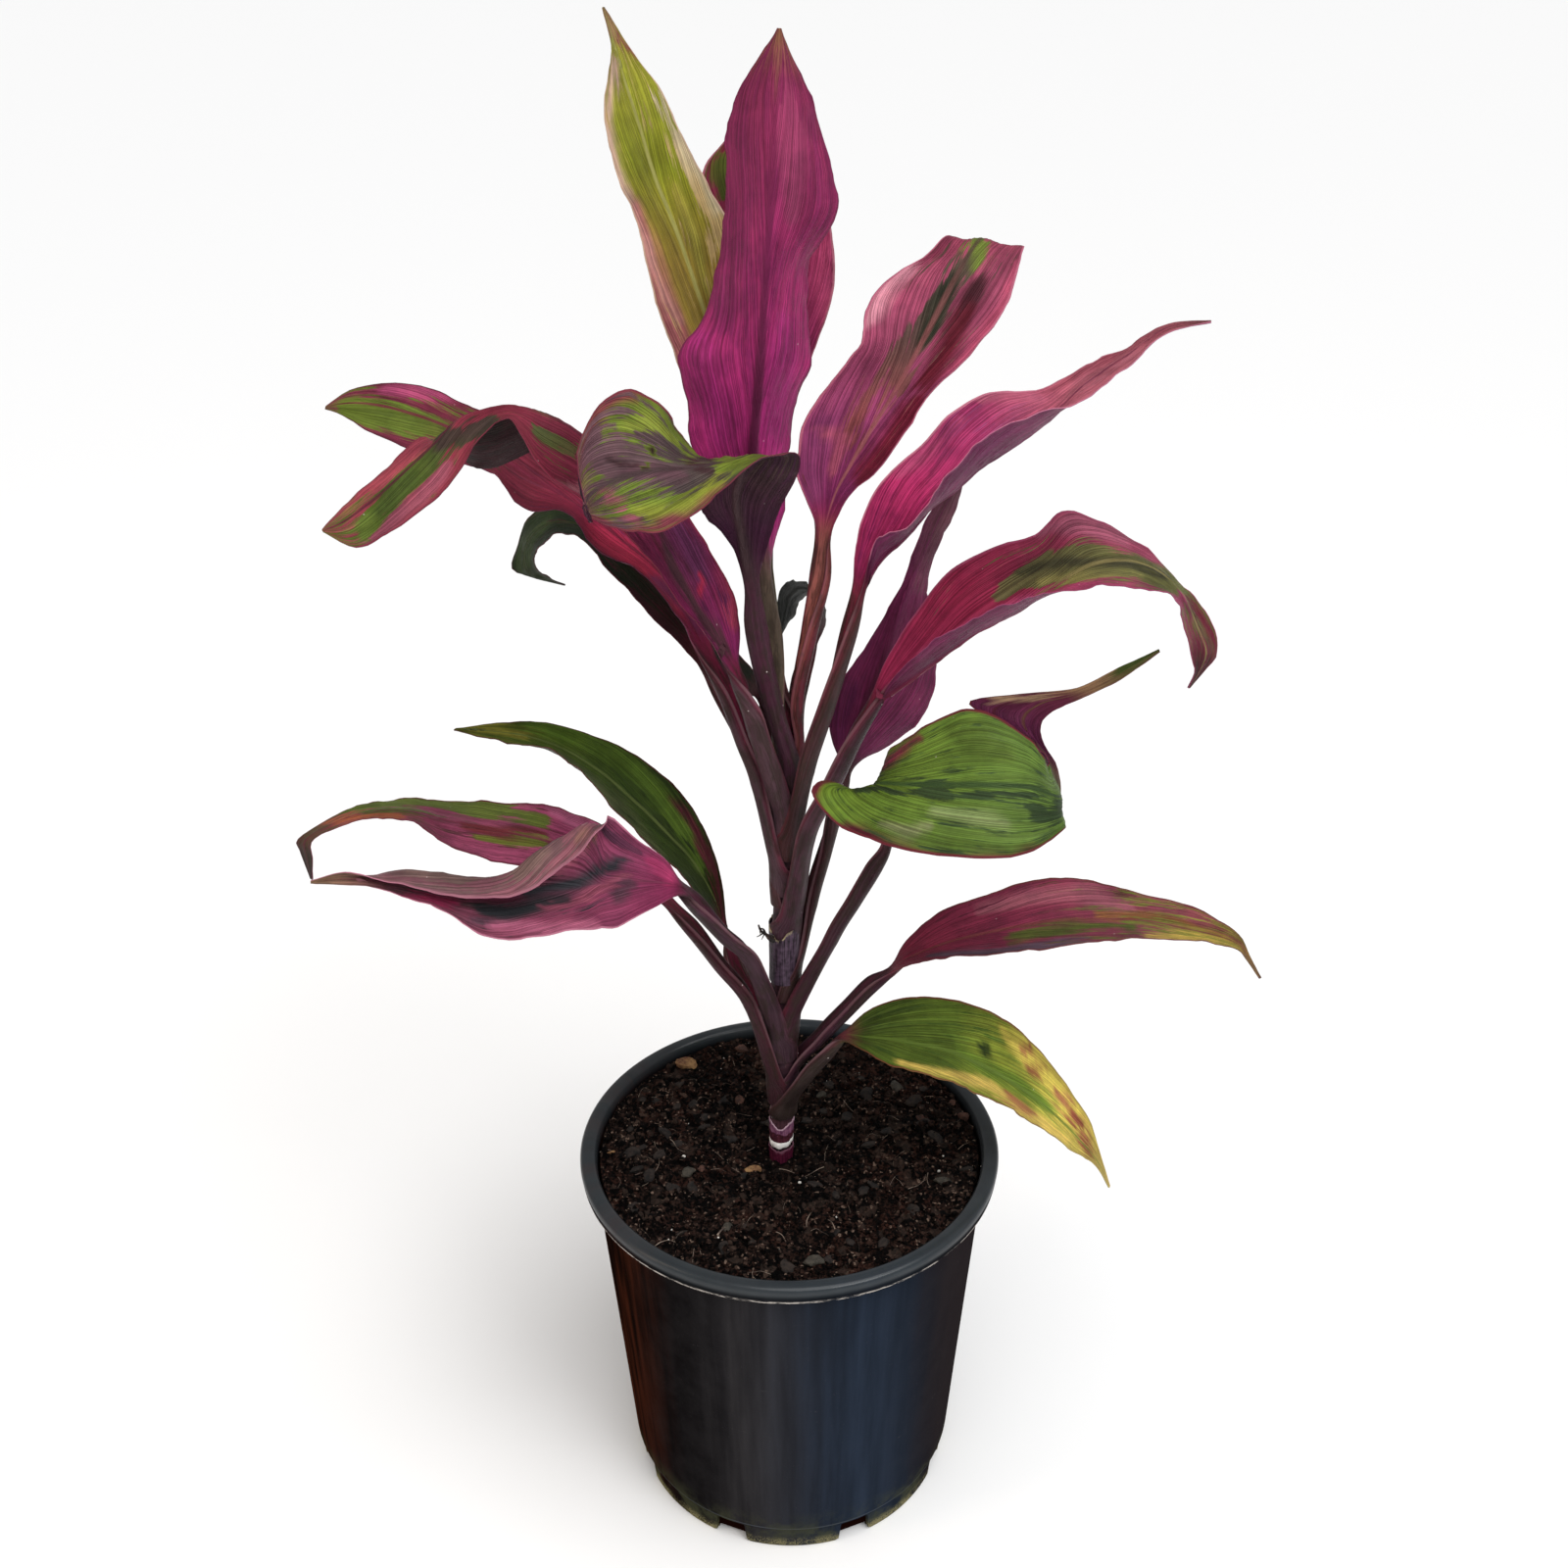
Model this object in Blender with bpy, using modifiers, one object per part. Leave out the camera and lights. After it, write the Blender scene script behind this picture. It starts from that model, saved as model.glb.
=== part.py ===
"""A ti plant with magenta and green leaves, growing in a round black nursery pot.

Units are millimetres in the tables and functions and metres in the meshes.
The pot's axis is Z, its foot stands on z = 0, and the front of the plant looks along -Y.
"""
import math

import bmesh
import bpy
from mathutils import Vector

for old in list(bpy.data.objects):
    bpy.data.objects.remove(old)

MM = 0.001
GAP = 0.3                # clearance between pieces that touch
# The pot
POT_HEIGHT = 190.0
RIM_RADIUS = 100.0
RIM_INNER_RADIUS = 93.0
LIP_HEIGHT = 9.0
BODY_TOP_RADIUS = 93.9
BODY_FOOT_RADIUS = 81.4
WALL = 2.0
FOOT_HEIGHT = 14.0
FOOT_RADIUS = 80.3
FOOT_WALL = 2.4
FLOOR_LEVEL = 3.0        # height of the floor's underside
FLOOR = 2.0
SLOTS = 8
SLOT_WIDTH = 16.0
SLOT_DEPTH = 8.0
SLOT_CENTRE_RADIUS = 80.0
CORNER = 4.0             # height of the slanted corner between the wall and the foot
CORNER_WIDTH = 6.5
# The soil
SOIL_LEVEL = 181.0       # at the stem
SOIL_RISE = 4.0          # how much higher the soil lies away from the stem
SOIL_TILT = 1.0          # how much higher it lies at the back and lower at the front
DISH_START = 9.0         # radii between which it rises
DISH_END = 45.0
SOIL_BUMP = 1.6
HOLE_DEPTH = 26.0
# The stem
STEM_FOOT_X = -4.0
STEM_LEAN = math.radians(1.3)
STEM_BOTTOM = SOIL_LEVEL - HOLE_DEPTH + GAP
# Blades
BLADE = 0.8              # thickness of a blade
RIB = 1.3                # extra thickness of the midrib at the blade's base
STALK = 4.0              # thickness of a leaf stalk's back
SHEATH = 1.9             # thickness of the sheath where it leaves the stem
SHEATH_RISE = 8.0        # height of the sheath's closed part
STALK_EDGE = 1.0         # thickness of a stalk's two edges
CHANNEL = 0.5            # depth of a stalk's channel as a share of its half width
NARROW = 4.0             # a section narrower than this keeps one even thickness
MITRE = 1.8              # limit of the extra offset where a blade is folded
STEPS = 24               # sections along a leaf
# The leaves are drawn on a square sheet as a viewer in front of the plant sees them.
# A sheet point and a depth (Y) give one point in space on the line of sight.
VIEW_BACK = 639.0
VIEW_HIGH = 716.0
VIEW_PITCH = math.radians(27.5)
SHEET_ROLL = math.radians(-0.52)
SHEET_MID_U = 802.0
SHEET_MID_V = 800.0
SHEET_FOCAL = 1709.0

collection = bpy.data.collections.new("ti_plant")
bpy.context.scene.collection.children.link(collection)
cutters = bpy.data.collections.new("cutters")
bpy.context.scene.collection.children.link(cutters)


def material(name, colour, roughness, metallic=0.0):
    """A Principled material of one plain colour."""
    made = bpy.data.materials.new(name)
    made.use_nodes = True
    shader = made.node_tree.nodes["Principled BSDF"]
    shader.inputs["Base Color"].default_value = (*colour, 1.0)
    shader.inputs["Roughness"].default_value = roughness
    shader.inputs["Metallic"].default_value = metallic
    made.diffuse_color = (*colour, 1.0)
    return made


def add_object(name, mesh, home=collection, look=None):
    made = bpy.data.objects.new(name, mesh)
    home.objects.link(made)
    if look is not None:
        made.data.materials.append(look)
    return made


# Sheet and sections

def sight(u, v, depth):
    """The point at a depth on the line of sight through a sheet point, in millimetres."""
    forward = Vector((0.0, math.cos(VIEW_PITCH), -math.sin(VIEW_PITCH)))
    level = Vector((1.0, 0.0, 0.0))
    upward = level.cross(forward)
    right = level * math.cos(SHEET_ROLL) + upward * math.sin(SHEET_ROLL)
    up = upward * math.cos(SHEET_ROLL) - level * math.sin(SHEET_ROLL)
    ray = forward + right * ((u - SHEET_MID_U) / SHEET_FOCAL) - up * ((v - SHEET_MID_V) / SHEET_FOCAL)
    eye = Vector((0.0, -VIEW_BACK, VIEW_HIGH))
    return eye + ray * ((depth + VIEW_BACK) / ray.y)


def stem_centre(height):
    return Vector((STEM_FOOT_X + (height - SOIL_LEVEL) * math.tan(STEM_LEAN), 0.0, height))


def stem_radius(height):
    """The stem's smooth outer radius: a little thicker where old leaf bases wrap it."""
    marks = ((150.0, 5.6), (200.0, 5.5), (240.0, 5.9), (310.0, 6.0), (360.0, 5.0), (385.0, 4.2), (410.0, 3.8))
    for (low, r_low), (high, r_high) in zip(marks, marks[1:]):
        if height <= high:
            share = max(0.0, (height - low) / (high - low))
            return r_low + (r_high - r_low) * share
    return marks[-1][1]


def glide(before, start, end, after, share):
    """Catmull-Rom step between two control points."""
    square = share * share
    cube = square * share
    return (
        before * (-0.5 * cube + square - 0.5 * share)
        + start * (1.5 * cube - 2.5 * square + 1.0)
        + end * (-1.5 * cube + 2.0 * square + 0.5 * share)
        + after * (0.5 * cube - 0.5 * square)
    )


def along(rows, place):
    """A section at a place along the rows: each row is five points across the leaf."""
    last = len(rows) - 1
    index = min(int(place), last - 1)
    share = place - index
    before = rows[max(index - 1, 0)]
    after = rows[min(index + 2, last)]
    return [
        glide(before[k], rows[index][k], rows[index + 1][k], after[k], share)
        for k in range(5)
    ]


def leaf_rows(turn, height, stalk, blade, root, wide, cup, tip, face):
    """All the sections of a leaf: sheath on the stem, stalk, blade and tip.

    turn is the sheath's place round the stem in degrees, 0 at +X and -90 at the front.
    """
    rows = []
    spots = [sight(*point) for point in stalk]
    heading = math.radians(turn)
    for rise, out, cover in ((0.0, 0.0, 0.7), (SHEATH_RISE, 0.5, 0.2)):
        centre = stem_centre(height + rise)
        reach = stem_radius(height) + GAP + 1.25 + out
        spread = (root + cover) / reach
        ring = []
        for share in (1.0, 0.5, 0.0, -0.5, -1.0):
            angle = heading + spread * share * face
            ring.append(centre + Vector((math.cos(angle), math.sin(angle), 0.0)) * reach)
        rows.append(ring)
    first_blade = [sight(*point) for point in blade[0]]
    centres = [rows[0][2], rows[1][2]] + spots + [first_blade[len(first_blade) // 2]]
    side_start = Vector((math.sin(heading), -math.cos(heading), 0.0)) * face
    side_end = (first_blade[-1] - first_blade[0]).normalized()
    count = len(spots)
    for i, spot in enumerate(spots):
        course = (centres[i + 3] - centres[i + 1]).normalized()
        share = (i + 1) / (count + 1)
        side = side_start.lerp(side_end, share * share)
        side = (side - course * side.dot(course)).normalized()
        up = side.cross(course) * face
        half = root + (wide - root) * min(1.0, 1.8 * share)
        lift = CHANNEL * half
        rows.append([
            spot - side * half + up * lift,
            spot - side * half * 0.66 + up * lift * 0.20,
            spot - up * lift * 0.20,
            spot + side * half * 0.66 + up * lift * 0.20,
            spot + side * half + up * lift,
        ])
    for i, points in enumerate(blade):
        spots_here = [sight(*point) for point in points]
        if len(spots_here) == 5:
            rows.append(spots_here)
            continue
        first, middle, last = spots_here
        ahead = sight(*blade[i + 1][len(blade[i + 1]) // 2]) if i + 1 < len(blade) else sight(*tip)
        back = sight(*blade[i - 1][len(blade[i - 1]) // 2]) if i else spots[-1]
        course = (ahead - back).normalized()
        bows = []
        for edge, sign in ((first, -1.0), (last, 1.0)):
            across = (edge - middle) * sign
            normal = across.cross(course)
            size = (edge - middle).length
            bow = normal.normalized() * (cup * size * face) if normal.length > 1e-6 else Vector()
            bows.append(edge.lerp(middle, 0.5) - bow)
        rows.append([first, bows[0], middle, bows[1], last])
    point = sight(*tip)
    inner = rows[-1]
    side = (inner[4] - inner[0]).normalized()
    rows.append([point + side * (0.3 * (k - 2)) for k in range(5)])
    return rows


def section_places(rows, steps):
    """Places along the rows, evenly spaced by distance along the midrib."""
    fine = 12
    last = len(rows) - 1
    places = [i / fine for i in range(last * fine + 1)]
    centres = [along(rows, place)[2] for place in places]
    reach = [0.0]
    for one, two in zip(centres, centres[1:]):
        reach.append(reach[-1] + (two - one).length)
    found = []
    mark = 0
    for i in range(steps + 1):
        wanted = reach[-1] * i / steps
        while mark < len(reach) - 2 and reach[mark + 1] < wanted:
            mark += 1
        span = reach[mark + 1] - reach[mark]
        share = (wanted - reach[mark]) / span if span else 0.0
        found.append(places[mark] + (places[mark + 1] - places[mark]) * min(share, 1.0))
    return found


def leaf(name, look, turn, height, stalk, blade, tip, wide=3.8, root=3.6, cup=0.06, face=1, steps=STEPS):
    """One leaf as a closed solid: a grooved stalk that opens into a thin curved blade."""
    rows = leaf_rows(turn, height, stalk, blade, root, wide, cup, tip, face)
    first_blade = 2 + len(stalk)
    places = section_places(rows, steps)
    grid = [along(rows, place) for place in places]
    body = bmesh.new()
    tops = []
    bottoms = []
    for i, ring in enumerate(grid):
        place = places[i]
        ahead = grid[min(i + 1, steps)]
        back = grid[max(i - 1, 0)]
        blend = min(1.0, max(0.0, (place - first_blade + 0.6) / 2.0))
        worn = min(1.0, max(0.0, (place - first_blade) / (len(rows) - 1 - first_blade)))
        centre_thick = STALK * (1.0 - blend) + (BLADE + RIB * (1.0 - worn)) * blend
        if place < 1.5:
            centre_thick = SHEATH + (STALK - SHEATH) * place / 1.5
        edge_thick = STALK_EDGE * (1.0 - blend) + BLADE * blend
        middle_thick = centre_thick * 0.75 * (1.0 - blend) + BLADE * blend
        top = []
        bottom = []
        narrow = (ring[4] - ring[0]).length < NARROW and place > len(rows) - 3
        for k in range(5):
            before = (ring[max(k, 1)] - ring[max(k, 1) - 1]).normalized()
            after = (ring[min(k, 3) + 1] - ring[min(k, 3)]).normalized()
            across = before + after
            course = ahead[k] - back[k]
            mitre = 1.0 / max(0.5 * across.length, 1.0 / MITRE)
            if narrow:
                across = ring[4] - ring[0]
                course = ahead[2] - back[2]
                mitre = 1.0
            normal = across.cross(course).normalized() * (face * mitre)
            thick = (edge_thick, middle_thick, centre_thick, middle_thick, edge_thick)[k]
            if narrow:
                thick = BLADE
            over = min(thick * 0.5, 0.5 + 0.35 * (1.0 - blend))
            top.append(body.verts.new((ring[k] + normal * over) * MM))
            bottom.append(body.verts.new((ring[k] - normal * (thick - over)) * MM))
        tops.append(top)
        bottoms.append(bottom)
    for i in range(steps):
        for k in range(4):
            for sheet in (tops, bottoms):
                body.faces.new((sheet[i][k], sheet[i][k + 1], sheet[i + 1][k + 1]))
                body.faces.new((sheet[i][k], sheet[i + 1][k + 1], sheet[i + 1][k]))
        for k in (0, 4):
            body.faces.new((tops[i][k], tops[i + 1][k], bottoms[i + 1][k]))
            body.faces.new((tops[i][k], bottoms[i + 1][k], bottoms[i][k]))
    for i in (0, steps):
        for k in range(4):
            body.faces.new((tops[i][k], tops[i][k + 1], bottoms[i][k + 1]))
            body.faces.new((tops[i][k], bottoms[i][k + 1], bottoms[i][k]))
    bmesh.ops.recalc_face_normals(body, faces=body.faces[:])
    mesh = bpy.data.meshes.new(name)
    body.to_mesh(mesh)
    body.free()
    mesh.shade_smooth()
    return add_object(name, mesh, look=look)


# Pot, soil and stem

def turned(name, profile, look, sides, home=collection):
    """A solid turned round Z from a profile of (radius, height) that runs down its outer side."""
    mesh = bpy.data.meshes.new(name)
    points = [(radius * MM, 0.0, height * MM) for radius, height in profile]
    mesh.from_pydata(points, [(i, i + 1) for i in range(len(points) - 1)], [])
    made = add_object(name, mesh, home, look)
    screw = made.modifiers.new("turn", "SCREW")
    screw.steps = sides
    screw.render_steps = sides
    screw.use_merge_vertices = True
    screw.merge_threshold = 0.00002
    screw.use_normal_calculate = True
    return made


def build_pot(look):
    pot = turned(
        "pot",
        [
            (0.0, FLOOR_LEVEL + FLOOR),
            (BODY_FOOT_RADIUS - CORNER_WIDTH, FLOOR_LEVEL + FLOOR),
            (BODY_FOOT_RADIUS - CORNER_WIDTH, FOOT_HEIGHT),
            (BODY_FOOT_RADIUS - WALL, FOOT_HEIGHT + CORNER),
            (BODY_TOP_RADIUS - WALL, POT_HEIGHT - LIP_HEIGHT - 3.0),
            (RIM_INNER_RADIUS - 0.6, POT_HEIGHT - LIP_HEIGHT + 2.0),
            (RIM_INNER_RADIUS, POT_HEIGHT - 2.0),
            (RIM_INNER_RADIUS + 1.6, POT_HEIGHT - 0.4),
            (RIM_INNER_RADIUS + 3.2, POT_HEIGHT),
            (RIM_RADIUS - 2.0, POT_HEIGHT - 0.2),
            (RIM_RADIUS - 0.5, POT_HEIGHT - 1.2),
            (RIM_RADIUS, POT_HEIGHT - 2.8),
            (RIM_RADIUS - 0.7, POT_HEIGHT - LIP_HEIGHT + 0.6),
            (RIM_RADIUS - 1.6, POT_HEIGHT - LIP_HEIGHT),
            (BODY_TOP_RADIUS + 0.6, POT_HEIGHT - LIP_HEIGHT + 0.4),
            (BODY_TOP_RADIUS, POT_HEIGHT - LIP_HEIGHT - 2.0),
            (BODY_FOOT_RADIUS + 0.6, FOOT_HEIGHT + CORNER),
            (BODY_FOOT_RADIUS - 0.3, FOOT_HEIGHT + 0.8),
            (FOOT_RADIUS, FOOT_HEIGHT - 0.6),
            (FOOT_RADIUS - 1.2, 0.0),
            (FOOT_RADIUS - 1.2 - FOOT_WALL, 0.0),
            (FOOT_RADIUS - 1.2 - FOOT_WALL, FLOOR_LEVEL),
            (0.0, FLOOR_LEVEL),
        ],
        look,
        48,
    )
    for i in range(SLOTS):
        angle = math.radians(-90.0 + 180.0 / SLOTS + i * 360.0 / SLOTS)
        bpy.ops.mesh.primitive_cube_add(size=1.0)
        slot = bpy.context.object
        slot.name = f"slot_{i}"
        slot.scale = (SLOT_DEPTH * MM, SLOT_WIDTH * MM, 2.0 * (FOOT_HEIGHT - 1.2) * MM)
        radius = SLOT_CENTRE_RADIUS * MM
        slot.location = (radius * math.cos(angle), radius * math.sin(angle), 0.0)
        slot.rotation_euler.z = angle
        slot.hide_render = True
        slot.display_type = "WIRE"
        for home in slot.users_collection:
            home.objects.unlink(slot)
        cutters.objects.link(slot)
        cut = pot.modifiers.new(slot.name, "BOOLEAN")
        cut.operation = "DIFFERENCE"
        cut.object = slot
    return pot


def soil_height(x, y):
    """Height of the soil's crumbs on its dished top."""
    rise = min(1.0, max(0.0, (math.hypot(x, y) - DISH_START) / (DISH_END - DISH_START)))
    dish = (SOIL_RISE + SOIL_TILT * y / BODY_TOP_RADIUS) * rise * rise * (3.0 - 2.0 * rise)
    lumps = math.sin(x * 0.21 + 1.3 * math.sin(y * 0.13)) * math.cos(y * 0.19 + 0.8 * math.sin(x * 0.11))
    crumbs = math.sin(x * 0.53 + 2.0) * math.sin(y * 0.47 + 0.7)
    return SOIL_LEVEL + dish + SOIL_BUMP * (0.6 * lumps + 0.4 * crumbs)


def build_soil(look):
    """The potting mix: it fills the pot and has a plain hole that the stem stands in."""
    sides = 48
    floor = FLOOR_LEVEL + FLOOR + GAP
    corner = FOOT_HEIGHT + GAP
    low = FOOT_HEIGHT + CORNER + GAP
    slope = (BODY_TOP_RADIUS - BODY_FOOT_RADIUS) / (POT_HEIGHT - LIP_HEIGHT - 3.0 - FOOT_HEIGHT - CORNER)
    outer_low = BODY_FOOT_RADIUS - WALL - GAP - 0.2
    inner_low = BODY_FOOT_RADIUS - CORNER_WIDTH - GAP - 0.2
    outer_high = outer_low + slope * (SOIL_LEVEL + SOIL_RISE - low)
    hole_x = stem_centre(SOIL_LEVEL).x
    hole = stem_radius(SOIL_LEVEL) + GAP + 0.2
    body = bmesh.new()
    rings = []

    def ring(radius, height, centre_x, on_top=False):
        """A ring at a height, or at a height above the soil's top."""
        made = []
        for k in range(sides):
            angle = 2.0 * math.pi * k / sides
            x = centre_x + radius * math.cos(angle)
            y = radius * math.sin(angle)
            z = height + (soil_height(x, y) if on_top else 0.0)
            made.append(body.verts.new((x * MM, y * MM, z * MM)))
        rings.append(made)

    ring(hole, SOIL_LEVEL - HOLE_DEPTH, stem_centre(SOIL_LEVEL - HOLE_DEPTH * 0.5).x)
    ring(hole, SOIL_LEVEL - 1.0, hole_x)
    spread = 9
    for i in range(spread):
        share = (i + 1) / spread
        radius = hole + 1.5 + (outer_high - hole - 1.5) * share
        lift = (0.8 if i == 0 else 0.0) - (0.8 if i == spread - 1 else 0.0)
        ring(radius, lift, hole_x * (1.0 - share), on_top=True)
    ring(outer_low, low, 0.0)
    ring(inner_low, corner, 0.0)
    ring(inner_low, floor, 0.0)
    for inner, outer in zip(rings, rings[1:]):
        for k in range(sides):
            body.faces.new((inner[k], inner[(k + 1) % sides], outer[(k + 1) % sides], outer[k]))
    body.faces.new(rings[0])
    body.faces.new(rings[-1])
    bmesh.ops.triangulate(body, faces=body.faces[:])
    bmesh.ops.recalc_face_normals(body, faces=body.faces[:])
    mesh = bpy.data.meshes.new("soil")
    body.to_mesh(mesh)
    body.free()
    mesh.shade_smooth()
    return add_object("soil", mesh, look=look)


def build_stem(look):
    """The cane: bare and ringed with scars at the soil, then wrapped by leaf bases to its tip."""
    profile = [(0.0, 407.0), (1.8, 406.5), (2.9, 404.8)]
    height = 401.0
    while height > SOIL_LEVEL + 4.0:
        radius = stem_radius(height)
        profile.append((radius - 0.1, height))
        profile.append((radius - 0.5, height - 1.6))
        height -= 11.0
    profile.append((stem_radius(height), SOIL_LEVEL))
    profile.append((stem_radius(150.0) - 0.3, STEM_BOTTOM))
    profile.append((0.0, STEM_BOTTOM))
    stem = turned("stem", [(r, z - SOIL_LEVEL) for r, z in profile], look, 14)
    stem.location = (STEM_FOOT_X * MM, 0.0, SOIL_LEVEL * MM)
    stem.rotation_euler.y = STEM_LEAN
    return stem


PLASTIC = material("pot_plastic", (0.012, 0.014, 0.018), 0.32)
SOIL = material("potting_mix", (0.018, 0.011, 0.009), 0.95)
BARK = material("stem_bark", (0.055, 0.022, 0.024), 0.6)
PALE = material("leaf_pale", (0.34, 0.33, 0.06), 0.45)
MAGENTA = material("leaf_magenta", (0.25, 0.015, 0.10), 0.45)
PINK = material("leaf_pink", (0.36, 0.05, 0.12), 0.45)
GREEN = material("leaf_green", (0.07, 0.14, 0.015), 0.45)
DARK = material("leaf_dark", (0.05, 0.05, 0.025), 0.45)

build_pot(PLASTIC)
build_soil(SOIL)
build_stem(BARK)

# The crown
leaf(
    "leaf_pale_top", PALE, 140.0, 392.0,
    [(797, 705, 8), (795, 640, 11), (788, 575, 13)],
    [
        ((768, 528, 14), (774, 522, 16), (781, 518, 15)),
        ((728, 450, 24), (757, 450, 17), (790, 440, 24)),
        ((692, 372, 32), (737, 375, 21), (780, 360, 31)),
        ((667, 300, 34), (712, 298, 22), (765, 290, 35)),
        ((652, 235, 35), (690, 235, 24), (748, 235, 38)),
        ((630, 178, 35), (668, 180, 24), (722, 188, 38)),
        ((617, 125, 33), (653, 130, 24), (697, 140, 36)),
        ((620, 78, 30), (638, 84, 22), (672, 88, 34)),
        ((624, 48, 26), (629, 52, 22), (645, 52, 27)),
    ],
    (616, 8, 20), wide=3.0, root=2.5,
)
leaf(
    "leaf_magenta_top", MAGENTA, -157.0, 397.0,
    [(793, 710, -2), (789, 650, -4)],
    [
        ((772, 585, -5), (779, 580, -6), (785, 583, -4)),
        ((742, 520, -2), (774, 520, -8), (800, 520, 0)),
        ((708, 462, 5), (769, 462, -10), (804, 462, 4)),
        ((702, 415, 7), (772, 415, -11), (812, 410, 7)),
        ((693, 362, 8), (776, 365, -12), (828, 365, 9)),
        ((721, 318, 7), (779, 318, -12), (823, 315, 8)),
        ((733, 262, 7), (783, 262, -12), (828, 264, 8)),
        ((741, 205, 7), (786, 208, -10), (855, 212, 9)),
        ((741, 140, 5), (789, 145, -8), (842, 150, 7)),
        ((752, 95, 2), (791, 98, -6), (829, 102, 4)),
        ((775, 58, -1), (794, 60, -4), (810, 62, 0)),
    ],
    (795, 29, -2), wide=3.6, root=2.4, face=-1,
)
leaf(
    "leaf_behind_top", PINK, 70.0, 399.0,
    [(801, 700, 17), (789, 620, 26), (786, 550, 34)],
    [
        ((783, 500, 42), (789, 498, 42), (796, 500, 42)),
        ((765, 440, 50), (796, 440, 44), (806, 430, 48)),
        ((740, 370, 54), (792, 370, 46), (828, 366, 50)),
        ((728, 300, 56), (790, 300, 48), (850, 300, 52)),
        ((720, 235, 58), (788, 235, 50), (850, 245, 54)),
        ((716, 178, 58), (787, 180, 52), (838, 190, 55)),
        ((742, 140, 58), (788, 140, 54), (826, 140, 56)),
    ],
    (792, 80, 54), wide=3.0, root=2.5,
)
leaf(
    "leaf_right_upright", PINK, -4.0, 388.0,
    [(814, 720, 1), (828, 650, 4), (838, 592, 6)],
    [
        ((833, 545, 6), (840, 547, 8), (848, 546, 7)),
        ((822, 508, 2), (851, 508, 10), (868, 505, 8)),
        ((813, 480, 0), (866, 478, 12), (896, 480, 8)),
        ((819, 435, 0), (888, 440, 14), (925, 440, 10)),
        ((843, 395, 4), (912, 402, 18), (948, 404, 13)),
        ((876, 355, 8), (934, 362, 22), (985, 367, 15)),
        ((884, 315, 14), (955, 322, 28), (1020, 325, 20)),
        ((908, 283, 22), (974, 285, 34), (1035, 290, 28)),
        ((943, 262, 32), (990, 257, 41), (1042, 262, 38)),
        ((966, 241, 44), (1003, 243, 50), (1045, 251, 48)),
        ((985, 258, 62), (1012, 258, 65), (1036, 266, 60)),
    ],
    (1012, 305, 78), wide=3.8, root=2.6,
)
leaf(
    "leaf_right_wavy", MAGENTA, -42.0, 358.0,
    [(820, 785, -9), (838, 720, -11), (857, 650, -12)],
    [
        ((870, 598, -10), (876, 602, -12), (881, 600, -14)),
        ((873, 560, -6), (893, 572, -14), (893, 552, -24)),
        ((884, 517, -4), (925, 542, -15), (920, 541, -29)),
        ((906, 484, -2), (950, 514, -15), (949, 512, -33)),
        ((938, 456, 0), (972, 499, -14), (962, 490, -35)),
        ((970, 422, 2), (1000, 475, -14), (988, 463, -36)),
        ((1010, 400, 4), (1040, 450, -13), (1020, 436, -36)),
        ((1055, 399, 4), (1073, 424, -11), (1066, 421, -32)),
        ((1110, 372, 4), (1108, 392, -8), (1110, 406, -24)),
        ((1150, 354, 2), (1150, 363, -6), (1150, 374, -16)),
        ((1190, 331, 0), (1190, 335, -4), (1190, 341, -9)),
    ],
    (1236, 328, -4), wide=4.2, root=3.4,
)
leaf(
    "leaf_front_arched", GREEN, -80.0, 386.0,
    [(790, 725, -10), (779, 680, -14), (771, 637, -16)],
    [
        ((775, 594, -15), (767, 597, -16), (760, 593, -15)),
        ((784, 555, -24), (759, 551, -24), (741, 548, -22)),
        ((799, 512, -36), (752, 509, -33), (716, 522, -24)),
        ((815, 482, -52), (758, 482, -43), (722, 490, -28)),
        ((810, 461, -64), (768, 464, -51), (740, 466, -38)),
        ((762, 478, -78), (740, 471, -64), (716, 468, -47)),
        ((715, 520, -86), (700, 478, -74), (698, 446, -52)),
        ((680, 541, -96), (668, 480, -84), (672, 412, -60)),
        ((648, 543, -103), (636, 487, -93), (640, 397, -70)),
        ((620, 537, -107), (608, 500, -101), (607, 418, -82)),
        ((604, 528, -110), (597, 514, -108), (590, 465, -97)),
    ],
    (602, 532, -112), wide=3.5, root=2.6, steps=28,
)
leaf(
    "leaf_left_arched", PINK, -124.0, 364.0,
    [(773, 745, -16), (760, 708, -19)],
    [
        ((742, 684, -22), (748, 680, -20), (754, 676, -18)),
        ((722, 650, -24), (732, 655, -21), (755, 642, -14)),
        ((698, 622, -27), (708, 616, -22), (748, 605, -12)),
        ((668, 578, -34), (683, 575, -25), (725, 563, -12)),
        ((640, 546, -42), (655, 530, -28), (692, 510, -10)),
        ((610, 520, -48), (628, 484, -31), (655, 470, -10)),
        ((580, 500, -54), (595, 446, -34), (610, 452, -12)),
        ((548, 474, -56), (562, 424, -36), (566, 452, -15)),
        ((527, 434, -50), (533, 416, -36), (535, 463, -20)),
        ((510, 429, -46), (505, 416, -37), (498, 478, -22)),
        ((480, 462, -50), (470, 426, -41), (465, 468, -27)),
        ((452, 503, -54), (441, 455, -44), (433, 446, -34)),
        ((420, 528, -54), (408, 486, -46), (402, 470, -36)),
        ((392, 547, -54), (379, 512, -48), (373, 497, -38)),
        ((363, 559, -54), (352, 532, -49), (345, 522, -42)),
    ],
    (329, 542, -50), wide=4.6, root=3.4, steps=30,
)
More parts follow.
